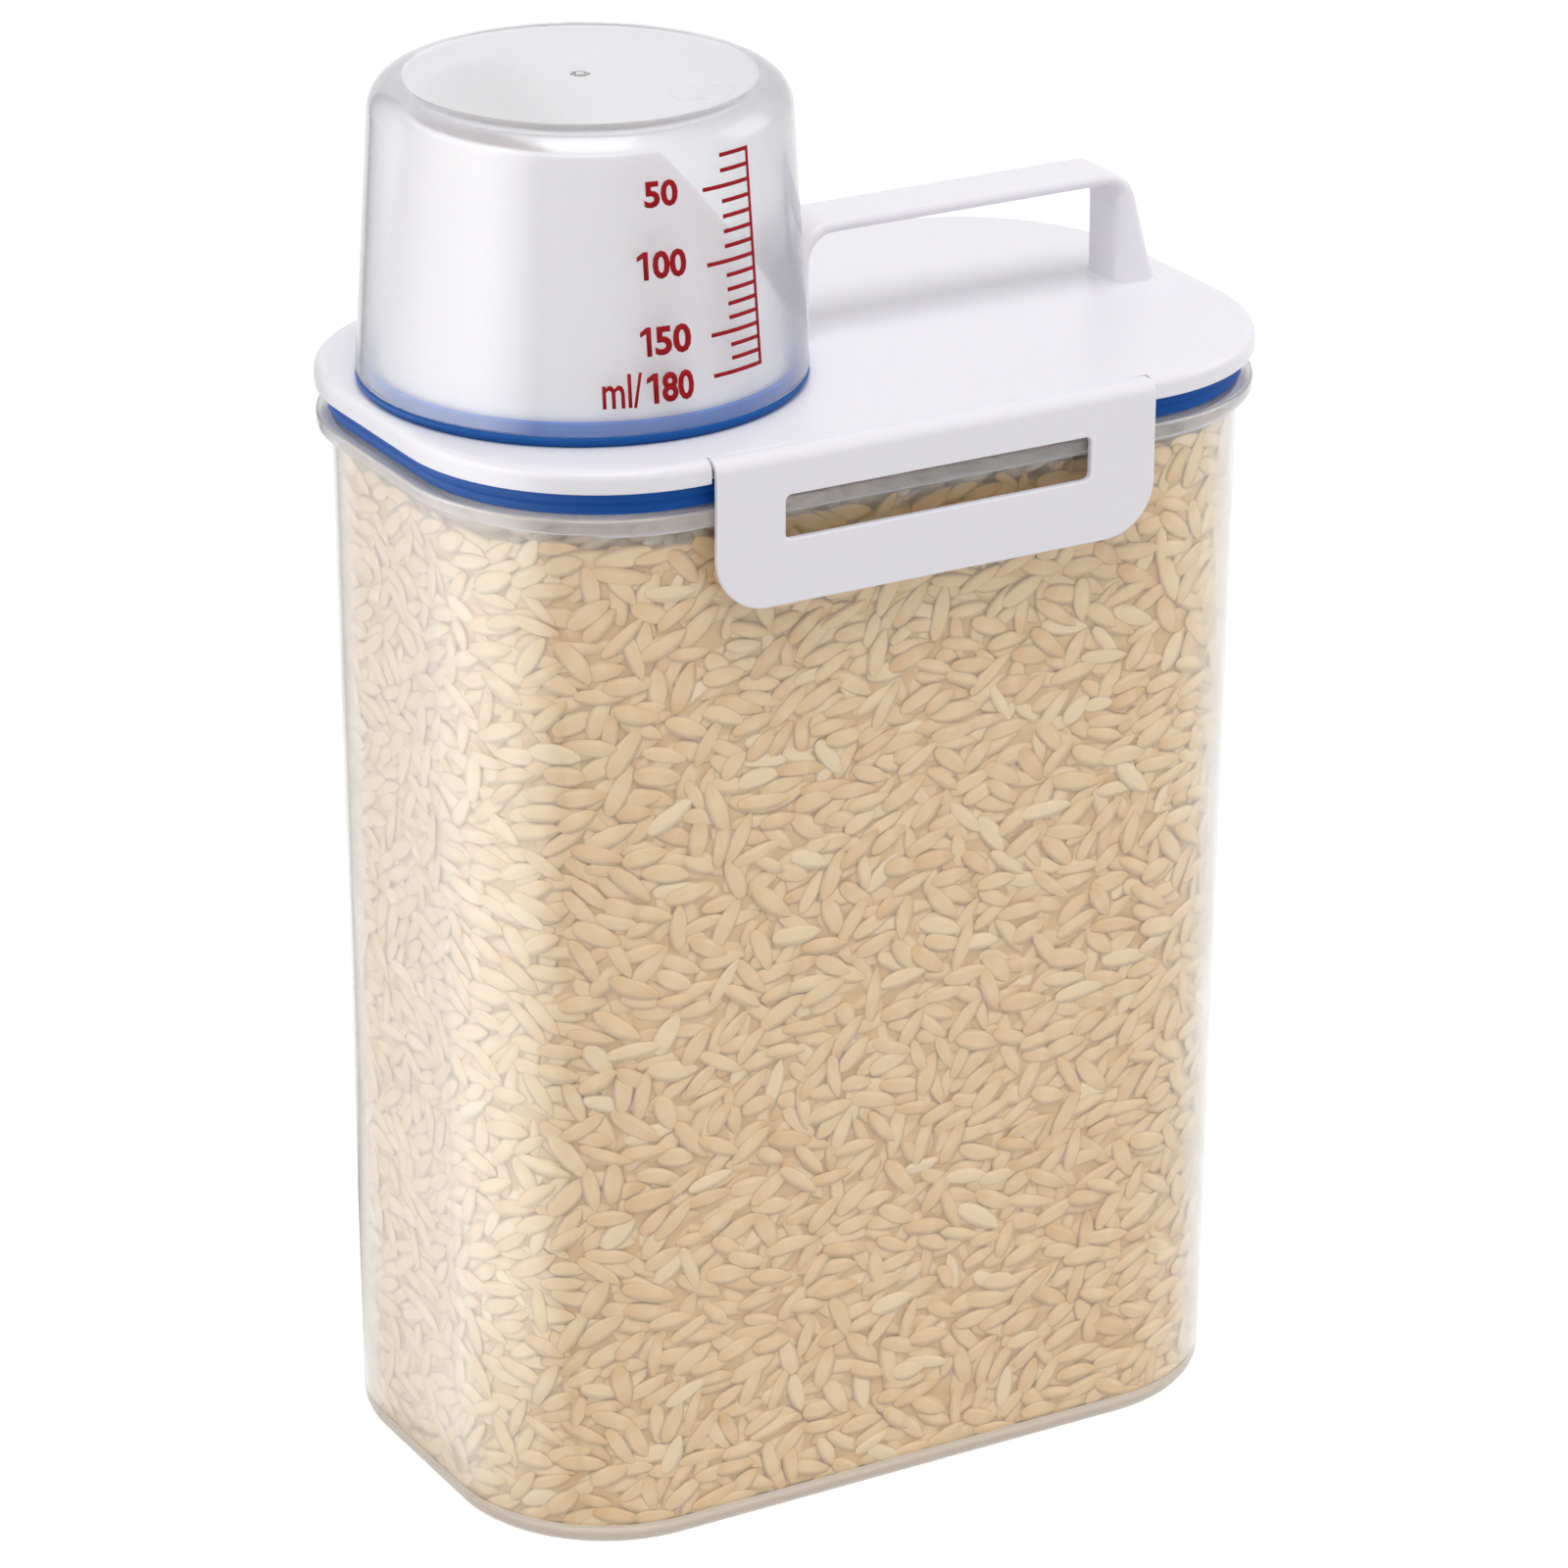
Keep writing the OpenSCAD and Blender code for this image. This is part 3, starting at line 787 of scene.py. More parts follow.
def rice_piece(name, points, tone, belly, flip, material):
    """One batch of grains as a mesh, with the tone and belly of each point."""
    quads, fans = grain_faces(len(points))
    if flip:
        quads, fans = quads[:, ::-1], fans[:, ::-1]
    mesh = bpy.data.meshes.new(name)
    flat_points = (points.reshape(-1, 3) * MM).astype(np.float32)
    mesh.vertices.add(len(flat_points))
    mesh.vertices.foreach_set("co", flat_points.ravel())
    corners = np.concatenate([quads.ravel(), fans.ravel()]).astype(np.int32)
    totals = np.concatenate([np.full(len(quads), 4), np.full(len(fans), 3)])
    starts = np.concatenate([[0], np.cumsum(totals)[:-1]]).astype(np.int32)
    mesh.loops.add(len(corners))
    mesh.loops.foreach_set("vertex_index", corners)
    mesh.polygons.add(len(totals))
    mesh.polygons.foreach_set("loop_start", starts)
    mesh.update(calc_edges=True)
    mesh.shade_smooth()
    point_values(mesh, "tone", tone)
    point_values(mesh, "belly", belly)
    mesh.materials.append(material)
    item = add_object(name, mesh)
    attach(item, "container")
    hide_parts("rice")


def rice_layer(name, laid, place, material, seed, batches=1, flip=False):
    """Puts a layer of grains in its place and cuts it into batches. Flip turns the faces
    over where the place mirrors the layer."""
    u, v, depth, tone, belly = grain_shells(laid, seed)
    points = place(u, v, depth)
    for number, part in enumerate(np.array_split(np.arange(len(laid)), batches), 1):
        rice_piece(f"{name}_{number}", points[part], tone[part], belly[part], flip, material)


def on_wall(u, v, depth):
    """Grains against the side wall, from the bend over the floor up to the rice's level."""
    height = np.maximum(v + RICE_LOW, FLOOR_T + RICE_GAP)
    inner_foot = FOOT_R - WALL
    rise = np.clip((FLOOR_T + inner_foot - height) / inner_foot, 0, 1)
    bend = inner_foot * (1 - np.sqrt(1 - rise ** 2))
    return wall_place(u % WALL_LENGTH, height, PRESSED * depth + bend + RICE_GAP)


def on_floor(u, v, depth):
    """Grains that lie on the floor."""
    return points_at(u - BED_X, v - BED_Y, depth + RICE_LOW)


def on_top(u, v, depth):
    """Grains on top of the rice: the layer's last grains are uppermost."""
    return points_at(u - BED_X, v - BED_Y, depth + RICE_TOP - TOP_BED)


def in_plan(x, y, margin, z):
    """Whether a place lies inside the container's plan at height z, less a margin."""
    half_x, half_y, radius = container_wall(z)
    keep_r = radius - WALL - margin
    away_x = np.maximum(np.abs(x) - (half_x - radius), 0)
    away_y = np.maximum(np.abs(y) - (half_y - radius), 0)
    return away_x ** 2 + away_y ** 2 < keep_r ** 2


def bed_keep(margin, z):
    """A test for pour() that keeps grains inside the plan."""
    return lambda across, up: in_plan(across - BED_X, up - BED_Y, margin, z)


def bulk_shape():
    """The inside of the rice: the container's plan set in behind the outer grains."""
    cols = columns(CORNER_STEPS // 2, SIDE_STOPS)
    heights = np.linspace(RICE_LOW + BULK_LIFT, RICE_TOP - TOP_BED + BULK_LIFT, 24)
    rows = [loop(cols, *container_wall(height), height, -WALL - BULK_SET) for height in heights]
    return skin(rows, first_cap=True, last_cap=True)


bulk = piece("rice_bulk", bulk_shape(), "container", ["rice"], "rice_grain", RICE_BULK,
             RICE_BULK_TOP_PAINTED_LIGHTER)
# upward faces of the bulk take the lighter top bulk, which is painted light
refinish(bulk, 1, lambda middle, normal: normal.z > UPWARD)

wall_grains = pour(WALL_LENGTH, RICE_TOP - RICE_LOW - 0.4, count=18000, deepest=2.7, seed=11,
                   wraps=True)
rice_layer("rice_wall", wall_grains, on_wall, RICE, seed=12, batches=8, flip=True)
floor_grains = pour(2 * BED_X, 2 * BED_Y, count=1300, deepest=2.0, seed=21,
                    keep=bed_keep(5.5, RICE_LOW))
rice_layer("rice_floor", floor_grains, on_floor, RICE, seed=22)
top_grains = pour(2 * BED_X, 2 * BED_Y, count=2600, deepest=4.0, seed=31,
                  keep=bed_keep(1.5, RICE_TOP))
# the top grains take the lighter rice, which is painted light
rice_layer("rice_top", top_grains, on_top, RICE_TOP_PAINTED_LIGHTER, seed=32)


# ---- lid

def lid_shape():
    """The lid as one closed surface: rows run from the spout's bore out along the underside,
    down and up the plug wall, out to the edge, over it and in along the top to the seat of
    the spout. Each row has one point per column. Between the ends of a latch notch the edge
    steps in to the hinge line."""
    straight = LID_X - LID_R
    outer_stop = NOTCH_HALF / straight
    stops = [-outer_stop, -outer_stop, *np.linspace(-0.8, 0.8, 9), outer_stop, outer_stop]
    cols = columns(CORNER_STEPS, stops)
    on_side = np.abs(np.abs(cols[:, 0]) - 1) > 1e-9
    share = np.abs(cols[:, 0])
    inner = on_side & (share < outer_stop - 1e-9)
    pair = on_side & (np.abs(share - outer_stop) < 1e-9)
    pair_index = np.flatnonzero(pair)
    # of each pair of equal columns, the one next to the notch is the inner one
    neighbours = np.stack([inner[pair_index - 1], inner[(pair_index + 1) % len(cols)]])
    inner[pair_index[neighbours.any(0)]] = True

    plug_x = RIM_X - RIM_OUT - PLUG_IN
    plug_y = RIM_Y - RIM_OUT - PLUG_IN
    plug_r = RIM_R - RIM_OUT - PLUG_IN

    # away from the edge, the two columns of a pair stand a little apart
    half_gap = 0.3
    apart = cols.copy()
    apart[pair, 0] += (np.sign(apart[pair, 0]) * np.where(inner[pair], -half_gap, half_gap)
                       / straight)

    def plug_row(out, z):
        return loop(apart, plug_x, plug_y, plug_r, z, out)

    def deck_row(in_x, in_y):
        return loop(apart, LID_X - in_x, LID_Y - in_y, LID_R - in_x - 0.6, LID_TOP)

    def plate_row(out, z):
        row = loop(cols, LID_X, LID_Y, LID_R, z, out)
        outer = pair & ~inner
        row[outer, 0] = np.sign(row[outer, 0]) * NOTCH_HALF
        scale = NOTCH_EDGE / LID_EDGE
        row[inner, 0] = np.clip(row[inner, 0], -NOTCH_HALF, NOTCH_HALF)
        row[inner, 1] = np.sign(row[inner, 1]) * (NOTCH_Y + out * scale)
        row[inner, 2] = np.where(z > LID_TOP - LID_EDGE - 1e-6, LID_TOP - (LID_TOP - z) * scale, z)
        return row

    edge = plate_row(-LID_EDGE, LID_TOP)
    bearing = np.unwrap(np.arctan2(edge[:, 1], edge[:, 0] - CUP_X))
    bearing = np.maximum.accumulate(bearing)

    def seat_row(radius, z, least=-math.inf):
        x = np.maximum(CUP_X + radius * np.cos(bearing), least)
        return points_at(x, radius * np.sin(bearing), z)

    def bore_row(z):
        return seat_row(SPOUT_R - SPOUT_WALL, z, -plug_x + PLUG_WALL + 0.3)

    seat_r = SPOUT_R + SEAT_GAP
    plate_low = LID_TOP - PLATE_T
    rows = [bore_row(plate_low)]
    plug = [(-PLUG_WALL - 0.6, plate_low), (-PLUG_WALL, plate_low), (-PLUG_WALL, PLUG_LOW),
            (0, PLUG_LOW), (0, SEAL_TOP)]
    rows += [plug_row(*p) for p in filleted(plug, [0, 0.4, 0.4, 0.4, 0], 4)]
    plate = [(-1, SEAL_TOP), (0, SEAL_TOP), (0, LID_TOP), (-LID_EDGE - 0.01, LID_TOP)]
    rows += [plate_row(*p) for p in filleted(plate, [0, 0.4, LID_EDGE, 0], 7)[1:-1]]
    notch_in = LID_Y - NOTCH_Y
    rows += [deck_row(2.4, notch_in + 0.9), deck_row(3.0, notch_in + 2.0)]
    rows += [seat_row(seat_r + SEAT_EDGE, LID_TOP),
             seat_row(seat_r + SEAT_EDGE_MID, LID_TOP - SEAT_EDGE_MID),
             seat_row(seat_r, LID_TOP - SEAT_EDGE),
             seat_row(seat_r, LID_TOP - SPOUT_SEAT),
             bore_row(LID_TOP - SPOUT_SEAT)]
    return skin(rows, closed=True)


lid = piece("white_lid", lid_shape(), "lid", ["lid"], "white_plastic", WHITE)
bevelled(lid, LID_BEVEL, segments=2)
weighted(lid)


def lid_seal_shape():
    """The seal's section carried round its plan: a band with soft lips above and below a
    shallow waist."""
    inner_x = RIM_X - RIM_OUT - PLUG_IN + 0.1
    seal_r = RIM_R - (RIM_X - SEAL_X)
    deep = SEAL_X - inner_x
    middle = (SEAL_LOW + SEAL_TOP) / 2
    corners = [(-deep, SEAL_LOW), (0, SEAL_LOW), (0, middle - 0.5), (-0.35, middle),
               (0, middle + 0.5), (0, SEAL_TOP), (-deep, SEAL_TOP)]
    section = filleted(corners, [0, 0.6, 0.5, 0.5, 0.5, 0.6, 0], 4)
    cols = columns(CORNER_STEPS, np.linspace(-0.9, 0.9, 7))
    return skin([loop(cols, SEAL_X, SEAL_Y, seal_r, z, out) for out, z in section], closed=True)


lid_seal = piece("blue_lid_seal", lid_seal_shape(), "lid", ["lid_seal"], "blue_seal", BLUE_SEAL)
weighted(lid_seal)


# ---- handle

def arc_points(centre, radius, start, end, steps):
    """Points on an arc from the start angle to the end angle, in degrees."""
    angle = np.radians(np.linspace(start, end, steps + 1))
    return points_at(centre[0] + radius * np.cos(angle), centre[1] + radius * np.sin(angle))


def handle_shape():
    """A rounded strap section carried along the arch. Station by station, the section spans
    from the inner line of the arch to the outer one: leg, bend, strap, bend, leg. At the
    feet the section flares out into the lid by a quarter round."""
    top = HANDLE_HIGH[2]
    half_w = HANDLE_HIGH[1]
    under = top - STRAP_T
    bend_steps = 12
    near_in = NEAR_LEG + NEAR_LEG_T
    far_in = FAR_FOOT - FAR_FOOT_L
    far_centre = np.array([FAR_FOOT - LEG_LEAN - FAR_BEND, top - FAR_BEND])
    reach = np.array([FAR_FOOT, LID_TOP]) - far_centre
    lean = math.degrees(math.atan2(reach[1], reach[0])
                        + math.acos(FAR_BEND / np.linalg.norm(reach)))
    legs = LID_TOP + np.array([0, 0.1, 0.3, 0.55, FOOT_FLARE, 4.0, 8.0])
    outer_leg_end = arc_points(far_centre, FAR_BEND, lean, lean, 0)[0]
    inner_leg_top = under - FAR_FILLET
    outer = np.vstack([
        points_at(NEAR_LEG, legs),
        arc_points((NEAR_LEG + NEAR_BEND, top - NEAR_BEND), NEAR_BEND, 180, 90, bend_steps),
        arc_points(far_centre, FAR_BEND, 90, lean, bend_steps),
        points_at(np.interp(legs, [LID_TOP, outer_leg_end[1]], [FAR_FOOT, outer_leg_end[0]]),
                  legs)[::-1],
    ])
    inner = np.vstack([
        points_at(near_in, legs),
        arc_points((near_in + NEAR_FILLET, under - NEAR_FILLET), NEAR_FILLET, 180, 90, bend_steps),
        arc_points((far_in - FAR_FILLET, inner_leg_top), FAR_FILLET, 90, 0, bend_steps),
        points_at(far_in, legs)[::-1],
    ])
    height = np.minimum(outer[:, 1], inner[:, 1])
    rise = np.clip(1 - (height - LID_TOP) / FOOT_FLARE, 0, 1)
    flare = FOOT_FLARE * (1 - np.sqrt(1 - rise ** 2))
    across = outer - inner
    thick = np.linalg.norm(across, axis=1)
    across /= thick[:, None]
    middle = (outer + inner) / 2
    section = columns(5)
    rows = []
    for at, direction, half_t, out in zip(middle, across, thick / 2, flare):
        reach, y, _ = loop(section, half_t, half_w, min(STRAP_EDGE, 0.96 * half_t), 0, out).T
        rows.append(points_at(at[0] + reach * direction[0], y, at[1] + reach * direction[1]))
    return skin(rows, first_cap=True, last_cap=True)


handle = piece("carry_handle", handle_shape(), "lid", ["handle"], "white_plastic", WHITE)
weighted(handle)


# ---- spout

def spout_shape():
    """A wall turned about the cup's axis, from its foot to a lip. The lip is level behind and
    falls away in front to its low side: its height at each angle is where the sloping wall
    meets the plane of the cut."""
    steps = 160
    angle = np.arange(steps) * 2 * math.pi / steps
    cos = np.cos(angle)
    slope = SPOUT_LEAN / (SPOUT_TOP - SPOUT_FOOT)
    mouth_low = LID_TOP + MOUTH_LOW
    low_x = SPOUT_R - slope * (mouth_low - SPOUT_FOOT)
    fall = (SPOUT_TOP - mouth_low) / (low_x + MOUTH_START)

    def wall_radius(z, out):
        return SPOUT_R + out - slope * np.maximum(z - SPOUT_FOOT, 0)

    def lip_height(out, lower):
        start = SPOUT_TOP - fall * (MOUTH_START + (SPOUT_R + out + slope * SPOUT_FOOT) * cos)
        cut = start / (1 - fall * slope * cos)
        return np.minimum(cut, SPOUT_TOP) - lower

    def ring(z, out):
        radius = wall_radius(z, out)
        return points_at(CUP_X + radius * cos, radius * np.sin(angle), z)

    shares = np.linspace(0, 1, 14)
    quarter = np.radians([0, 22, 45, 68, 90])
    top = lip_height(0, SPOUT_EDGE)
    low = lip_height(-SPOUT_WALL, SPOUT_EDGE)
    rows = [ring(SPOUT_LOW[2], 0), ring(SPOUT_FOOT, 0)]
    rows += [ring(SPOUT_FOOT + (top - SPOUT_FOOT) * share, 0) for share in shares[1:]]
    # the outer and the inner rounding of the lip
    for turns, face, inward in ((quarter[1:], 0, -1), (quarter[::-1], -SPOUT_WALL, 1)):
        for turn in turns:
            out = face + inward * SPOUT_EDGE * (1 - math.cos(turn))
            rows.append(ring(lip_height(out, SPOUT_EDGE * (1 - math.sin(turn))), out))
    rows += [ring(SPOUT_FOOT + (low - SPOUT_FOOT) * share, -SPOUT_WALL)
             for share in shares[-2::-1]]
    rows.append(ring(SPOUT_LOW[2], -SPOUT_WALL))
    return skin(rows, closed=True)


# the spout takes the lighter white, which is painted light
spout = piece("pouring_spout", spout_shape(), "lid", ["spout"], "white_plastic", SPOUT_WHITE_PAINTED_LIGHTER)
weighted(spout)


# ---- cup seal and cup

def cup_radius(z):
    """Outside radius of the cup's straight side at height z."""
    return CUP_R - CUP_LEAN * (np.asarray(z) - CUP_MOUTH) / (CUP_TOP - CUP_MOUTH)


def cup_seal_shape():
    """The ring's section turned about the cup's axis: an undercut flange that the cup stands
    on and an upstand inside it."""
    inner = SPOUT_R + SEAT_GAP
    upstand = (CUP_R - CUP_WALL - UPSTAND_GAP
               - (RING_TOP - LID_TOP) * CUP_LEAN / (CUP_TOP - CUP_MOUTH))
    flange_top = RING_LOW + RING_T
    corners = [(inner, RING_TOP - 0.8), (inner, RING_LOW), (RING_R - 0.8, RING_LOW),
               (RING_R, RING_LOW + 0.6 * RING_T), (RING_R, flange_top), (upstand, flange_top),
               (upstand, RING_TOP), (inner, RING_TOP), (inner, RING_TOP - 0.8)]
    section = filleted(corners, [0, 0.2, 0.2, 0.3, 0.3, 0.2, 0.35, 0.35, 0], 4)
    return skin(turned(section[:-1], CUP_X), closed=True)


cup_seal = piece("blue_cup_seal", cup_seal_shape(), "lid", ["cup_seal"], "blue_seal", BLUE_RING,
                 BLUE_UPSTAND_PAINTED_GLOW)
# the upstand's faces take the lighter blue, a painted glow
refinish(cup_seal, 1, lambda middle, normal: middle[2] > RING_LOW + RING_T + 0.1)
weighted(cup_seal)


def cup_shape():
    """The cup's wall turned about its axis: from the middle of the end inside, down the inner
    wall, round the mouth, up the outer wall and over the shoulder to the end disc, which is
    sunk a little and has the mark of the gate in its middle."""
    inner_top = CUP_TOP - CUP_END
    inner_r = CUP_R - CUP_WALL
    lean = CUP_LEAN / (CUP_TOP - CUP_MOUTH)
    inner_shoulder = CUP_SHOULDER - CUP_WALL
    disc_z = CUP_TOP - DISC_SINK
    corners = [
        (0.5, inner_top),
        (inner_r - lean * (inner_top - CUP_MOUTH), inner_top),
        (inner_r, CUP_MOUTH),
        (CUP_R, CUP_MOUTH),
        (CUP_R - CUP_LEAN, CUP_TOP),
        (END_DISC_R, CUP_TOP),
        (END_DISC_R - DISC_SLOPE, disc_z),
        (GATE_R + 0.5, disc_z),
        (GATE_R + 0.2, disc_z - GATE_PIT),
        (GATE_R - 0.3, disc_z - GATE_PIT),
        (GATE_R - 0.5, CUP_TOP - 0.05),
        (0.2, CUP_TOP - 0.12),
    ]
    radii = [0, inner_shoulder, 0.35, 0.5, CUP_SHOULDER, 0.12, 0.12, 0.15, 0.15, 0.15, 0.2, 0]
    section = filleted(corners, radii, 12)
    return skin(turned(section, CUP_X), first_cap=True, last_cap=True)


cup = piece("clear_measuring_cup", cup_shape(), "cup", ["measuring_cup"], "clear_plastic",
            CLEAR_CUP, FROSTED)
refinish(cup, 1, lambda middle, normal: (
    middle[2] > CUP_TOP - 0.4 and math.hypot(middle[0] - CUP_X, middle[1]) < END_DISC_R))
weighted(cup)


# ---- printed scale

def on_cup(azimuth, z):
    """Points on the outside of the cup at an azimuth in degrees about its axis. The print
    leans round by a small angle towards the mouth."""
    radius = cup_radius(z) + PRINT_LIFT
    angle = np.radians(azimuth + PRINT_LEAN * (SCALE_TOP - z) / (SCALE_TOP - SCALE_LOW))
    return points_at(CUP_X + radius * np.cos(angle), radius * np.sin(angle), z)


def scale_height(millilitres):
    """Height of a mark on the upturned cup: marks stand closer together towards the mouth,
    as the cup widens."""
    share = (millilitres - SCALE_FIRST) / (SCALE_LAST - SCALE_FIRST)
    return SCALE_TOP - (SCALE_TOP - SCALE_LOW) * (share + SCALE_BOW * np.sin(share * math.pi))


def print_patch(az_from, az_to, z_from, z_to):
    """A printed bar wrapped on the cup, as a grid of azimuth against height."""
    steps = max(2, int(abs(az_to - az_from) / 1.5))
    azimuth, z = np.meshgrid(np.linspace(az_from, az_to, steps + 1), np.linspace(z_from, z_to, 2))
    return skin(on_cup(azimuth, z), ring=False)


def merged(shapes):
    """Several meshes as one."""
    points, faces, start = [], [], 0
    for part_points, part_faces in shapes:
        points.append(part_points)
        faces += [[start + corner for corner in face] for face in part_faces]
        start += len(part_points)
    return np.vstack(points), faces


def scale_bars():
    """The upright line and its marks, one every 10 ml and longer where there is a number."""
    half = PRINT_LINE / 2
    half_az = half / (math.radians(1) * CUP_R)
    bars = [print_patch(SCALE_AZ - half_az, SCALE_AZ + half_az,
                        scale_height(SCALE_LAST) - half, scale_height(SCALE_FIRST) + half)]
    for amount in range(SCALE_FIRST, SCALE_LAST + 1, SCALE_STEP):
        z = scale_height(amount)
        reach = LONG_REACH if amount in LONG_MARKS else SHORT_REACH
        bars.append(print_patch(SCALE_AZ - reach, SCALE_AZ - half_az, z - half, z + half))
    return merged(bars)


def stretched(share, az_from, az_to, z_from, z_to):
    """Points on the cup, from their shares of a patch's width and height."""
    azimuth = az_from + (az_to - az_from) * share[:, 0]
    return on_cup(azimuth, z_from + (z_to - z_from) * share[:, 1])


def label_shape(text, weight, *patch):
    """A number in the built-in typeface, stretched to its place and wrapped on the cup."""
    curve = bpy.data.curves.new("label", "FONT")
    curve.body = text
    curve.offset = weight
    curve.resolution_u = 3
    holder = add_object("label", curve)
    bpy.context.view_layer.update()
    depsgraph = bpy.context.evaluated_depsgraph_get()
    flat = bpy.data.meshes.new_from_object(holder.evaluated_get(depsgraph))
    points = np.empty(len(flat.vertices) * 3)
    flat.vertices.foreach_get("co", points)
    points = points.reshape(-1, 3)
    faces = [list(face.vertices) for face in flat.polygons]
    bpy.data.objects.remove(holder)
    bpy.data.curves.remove(curve)
    bpy.data.meshes.remove(flat)
    share = (points - points.min(0)) / np.maximum(np.ptp(points, axis=0), 1e-9)
    return stretched(share, *patch), faces


def figure_one(*patch):
    """The figure 1: an upright with a slanting flag."""
    glyph = np.array([(0.55, 0), (1, 0), (1, 1), (0.6, 1), (0, 0.84), (0, 0.67), (0.55, 0.78)])
    return stretched(glyph, *patch), [list(range(len(glyph)))]


# each number's text and weight, and the azimuths and heights that it spans
LABELS = [
    ("50", 0.034, -101.8, -92.4, 252.5, 257.2),
    ("00", 0.034, -100.5, -91.1, 240.0, 245.0),
    ("50", 0.034, -100.9, -91.0, 226.6, 231.8),
    ("ml/", 0.012, -114.9, -104.7, 217.8, 224.0),
    ("80", 0.034, -99.7, -91.0, 218.2, 223.6),
]
ONES = [
    (-104.6, -101.6, 240.0, 245.0),
    (-104.7, -101.8, 226.6, 231.8),
    (-103.6, -100.6, 218.2, 223.6),
]

scale_marks = piece("scale_marks", scale_bars(), "cup", [], None, RED_INK)
thickened(scale_marks, PRINT_T)
number_shapes = [label_shape(*label) for label in LABELS] + [figure_one(*place) for place in ONES]
scale_numbers = piece("scale_numbers", merged(number_shapes), "cup", [], None, RED_INK)
thickened(scale_numbers, PRINT_T)


# ---- latches

def flap_corner(centre_x, centre_z, side_x, side_z, reach, quarter, steps, square):
    """One corner of the flap's outline, a quarter turn about its centre: an arc, or a square
    corner walked along its two sides."""
    share = np.linspace(0, 1, steps + 1)
    if not square:
        angle = (quarter + share) * math.pi / 2
        return points_at(centre_x + reach * np.cos(angle), centre_z + reach * np.sin(angle))
    away = [1 - np.maximum(share * 2 - 1, 0), np.minimum(share * 2, 1)]
    away_x, away_z = away if quarter % 2 == 0 else away[::-1]
    return points_at(centre_x + side_x * reach * away_x, centre_z + side_z * reach * away_z)


def outline(half_x, low, high, reaches, steps, squares):
    """A closed outline of four corners, anticlockwise from the upper right."""
    parts = []
    for quarter, (side_x, side_z) in enumerate([(1, 1), (-1, 1), (-1, -1), (1, -1)]):
        reach = reaches[quarter]
        centre_x = side_x * (half_x - reach)
        centre_z = high - reach if side_z > 0 else low + reach
        parts.append(flap_corner(centre_x, centre_z, side_x, side_z, reach, quarter, steps,
                                 squares[quarter]))
    return np.vstack(parts)


def latch_shape(side):
    """The outside face of a latch, which then gets its thickness: the flap is the band between
    the slot's outline and the flap's, and above it the top edge is carried round the roll and
    in along the roof to the hinge line."""
    steps = 12
    face_y = LATCH_LOW[1]
    top = LID_TOP - ROLL_R
    half_x = LATCH_HIGH[0]
    flap = outline(half_x, LATCH_LOW[2], top, [8, 8, FLAP_CORNER, FLAP_CORNER], steps,
                   [True, True, False, False])
    slot = outline(SLOT_HALF_X, SLOT_Z - SLOT_HALF_Z, SLOT_Z + SLOT_HALF_Z, [SLOT_R] * 4, steps,
                   [False] * 4)
    band = np.stack([slot, flap])
    face = points_at(band[..., 0], face_y, band[..., 1])
    edge = np.unique(np.round(flap[flap[:, 1] > top - 1e-6, 0], 6))
    turn = np.radians(np.linspace(0, 90, 9))
    roof = np.vstack([
        points_at(face_y + ROLL_R * (1 - np.cos(turn)), top + ROLL_R * np.sin(turn)),
        (-HINGE_Y, LID_TOP),
    ])
    strip = points_at(edge, roof[:, :1], roof[:, 1:])
    points, faces = merged([turned_over(skin(face)), skin(strip, ring=False)])
    shape = points * np.array([1, -side, 1]), faces
    return turned_over(shape) if side > 0 else shape


def latch(name, side, body, node):
    """One latch, on the front for side -1 and on the back for side 1."""
    item = piece(name, latch_shape(side), body, [node], "white_plastic", WHITE)
    modified(item, "one_sheet", "WELD", merge_threshold=0.01 * MM)
    thickened(item, FLAP_T)
    bevelled(item, LATCH_EDGE)
    weighted(item)


latch("front_latch", -1, "front_latch", "latch_front")
latch("back_latch", 1, "back_latch", "latch_back")


def film_shape(side):
    """The thin film that joins a latch to the lid: a shallow groove carried along the hinge."""
    groove = np.array([(NOTCH_Y - 0.15, 0.0), (NOTCH_Y, -0.04), (NOTCH_Y + 0.2, -0.22),
                       (NOTCH_Y + 0.38, -0.22), (HINGE_Y, -0.05), (HINGE_Y + 0.2, 0.0)])
    x = np.linspace(-1, 1, 25) * (LATCH_HIGH[0] - 0.3)
    grid = points_at(x, groove[:, :1] * side, groove[:, 1:] + LID_TOP - 0.01)
    shape = skin(grid, ring=False)
    return turned_over(shape) if side < 0 else shape


for side, label, body in ((-1, "front", "front_latch"), (1, "back", "back_latch")):
    film = piece(f"{label}_hinge_film", film_shape(side), None, [], "white_plastic", WHITE)
    thickened(film, FILM_T)
    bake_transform(film)


# ---- floor, light and camera

AROUND = 0.60
FLOOR_GLOW = 0.55
FLOOR_RADII, FLOOR_Z = (0.05, 300, 6000), -0.1
# each lamp's name, place in metres, side in metres and power in watts
LAMPS = [
    ("key", (-0.25, -0.5, 1.6), 0.9, 10.4),
    ("fill", (1.2, -0.3, 0.7), 0.8, 3),
]
LAMP_AIM = (0, 0, 0.12)
CARD_BEARINGS = (112.0, 128.0, 142.0, 156.0, 170.0, 194.0, 206.0, 216.0)
CARD_GLOWS = (0.0, 1.5, 2.8, 4.2, 6.2, 6.8, 3.8, 0.0)
CARD_SHARES = (0.3, 0.8, 1.0)
CARD_INNER, CARD_AWAY = 88.0, 195.0
CARD_LOW, CARD_TOP = 0.5, 360.0
VIEW_AZ, VIEW_EL, VIEW_ROLL = -29.90, 22.70, 0.254
VIEW_PLACE = (-0.53759, -0.93403, 0.57418)
LENS, SENSOR = 144.61, 36


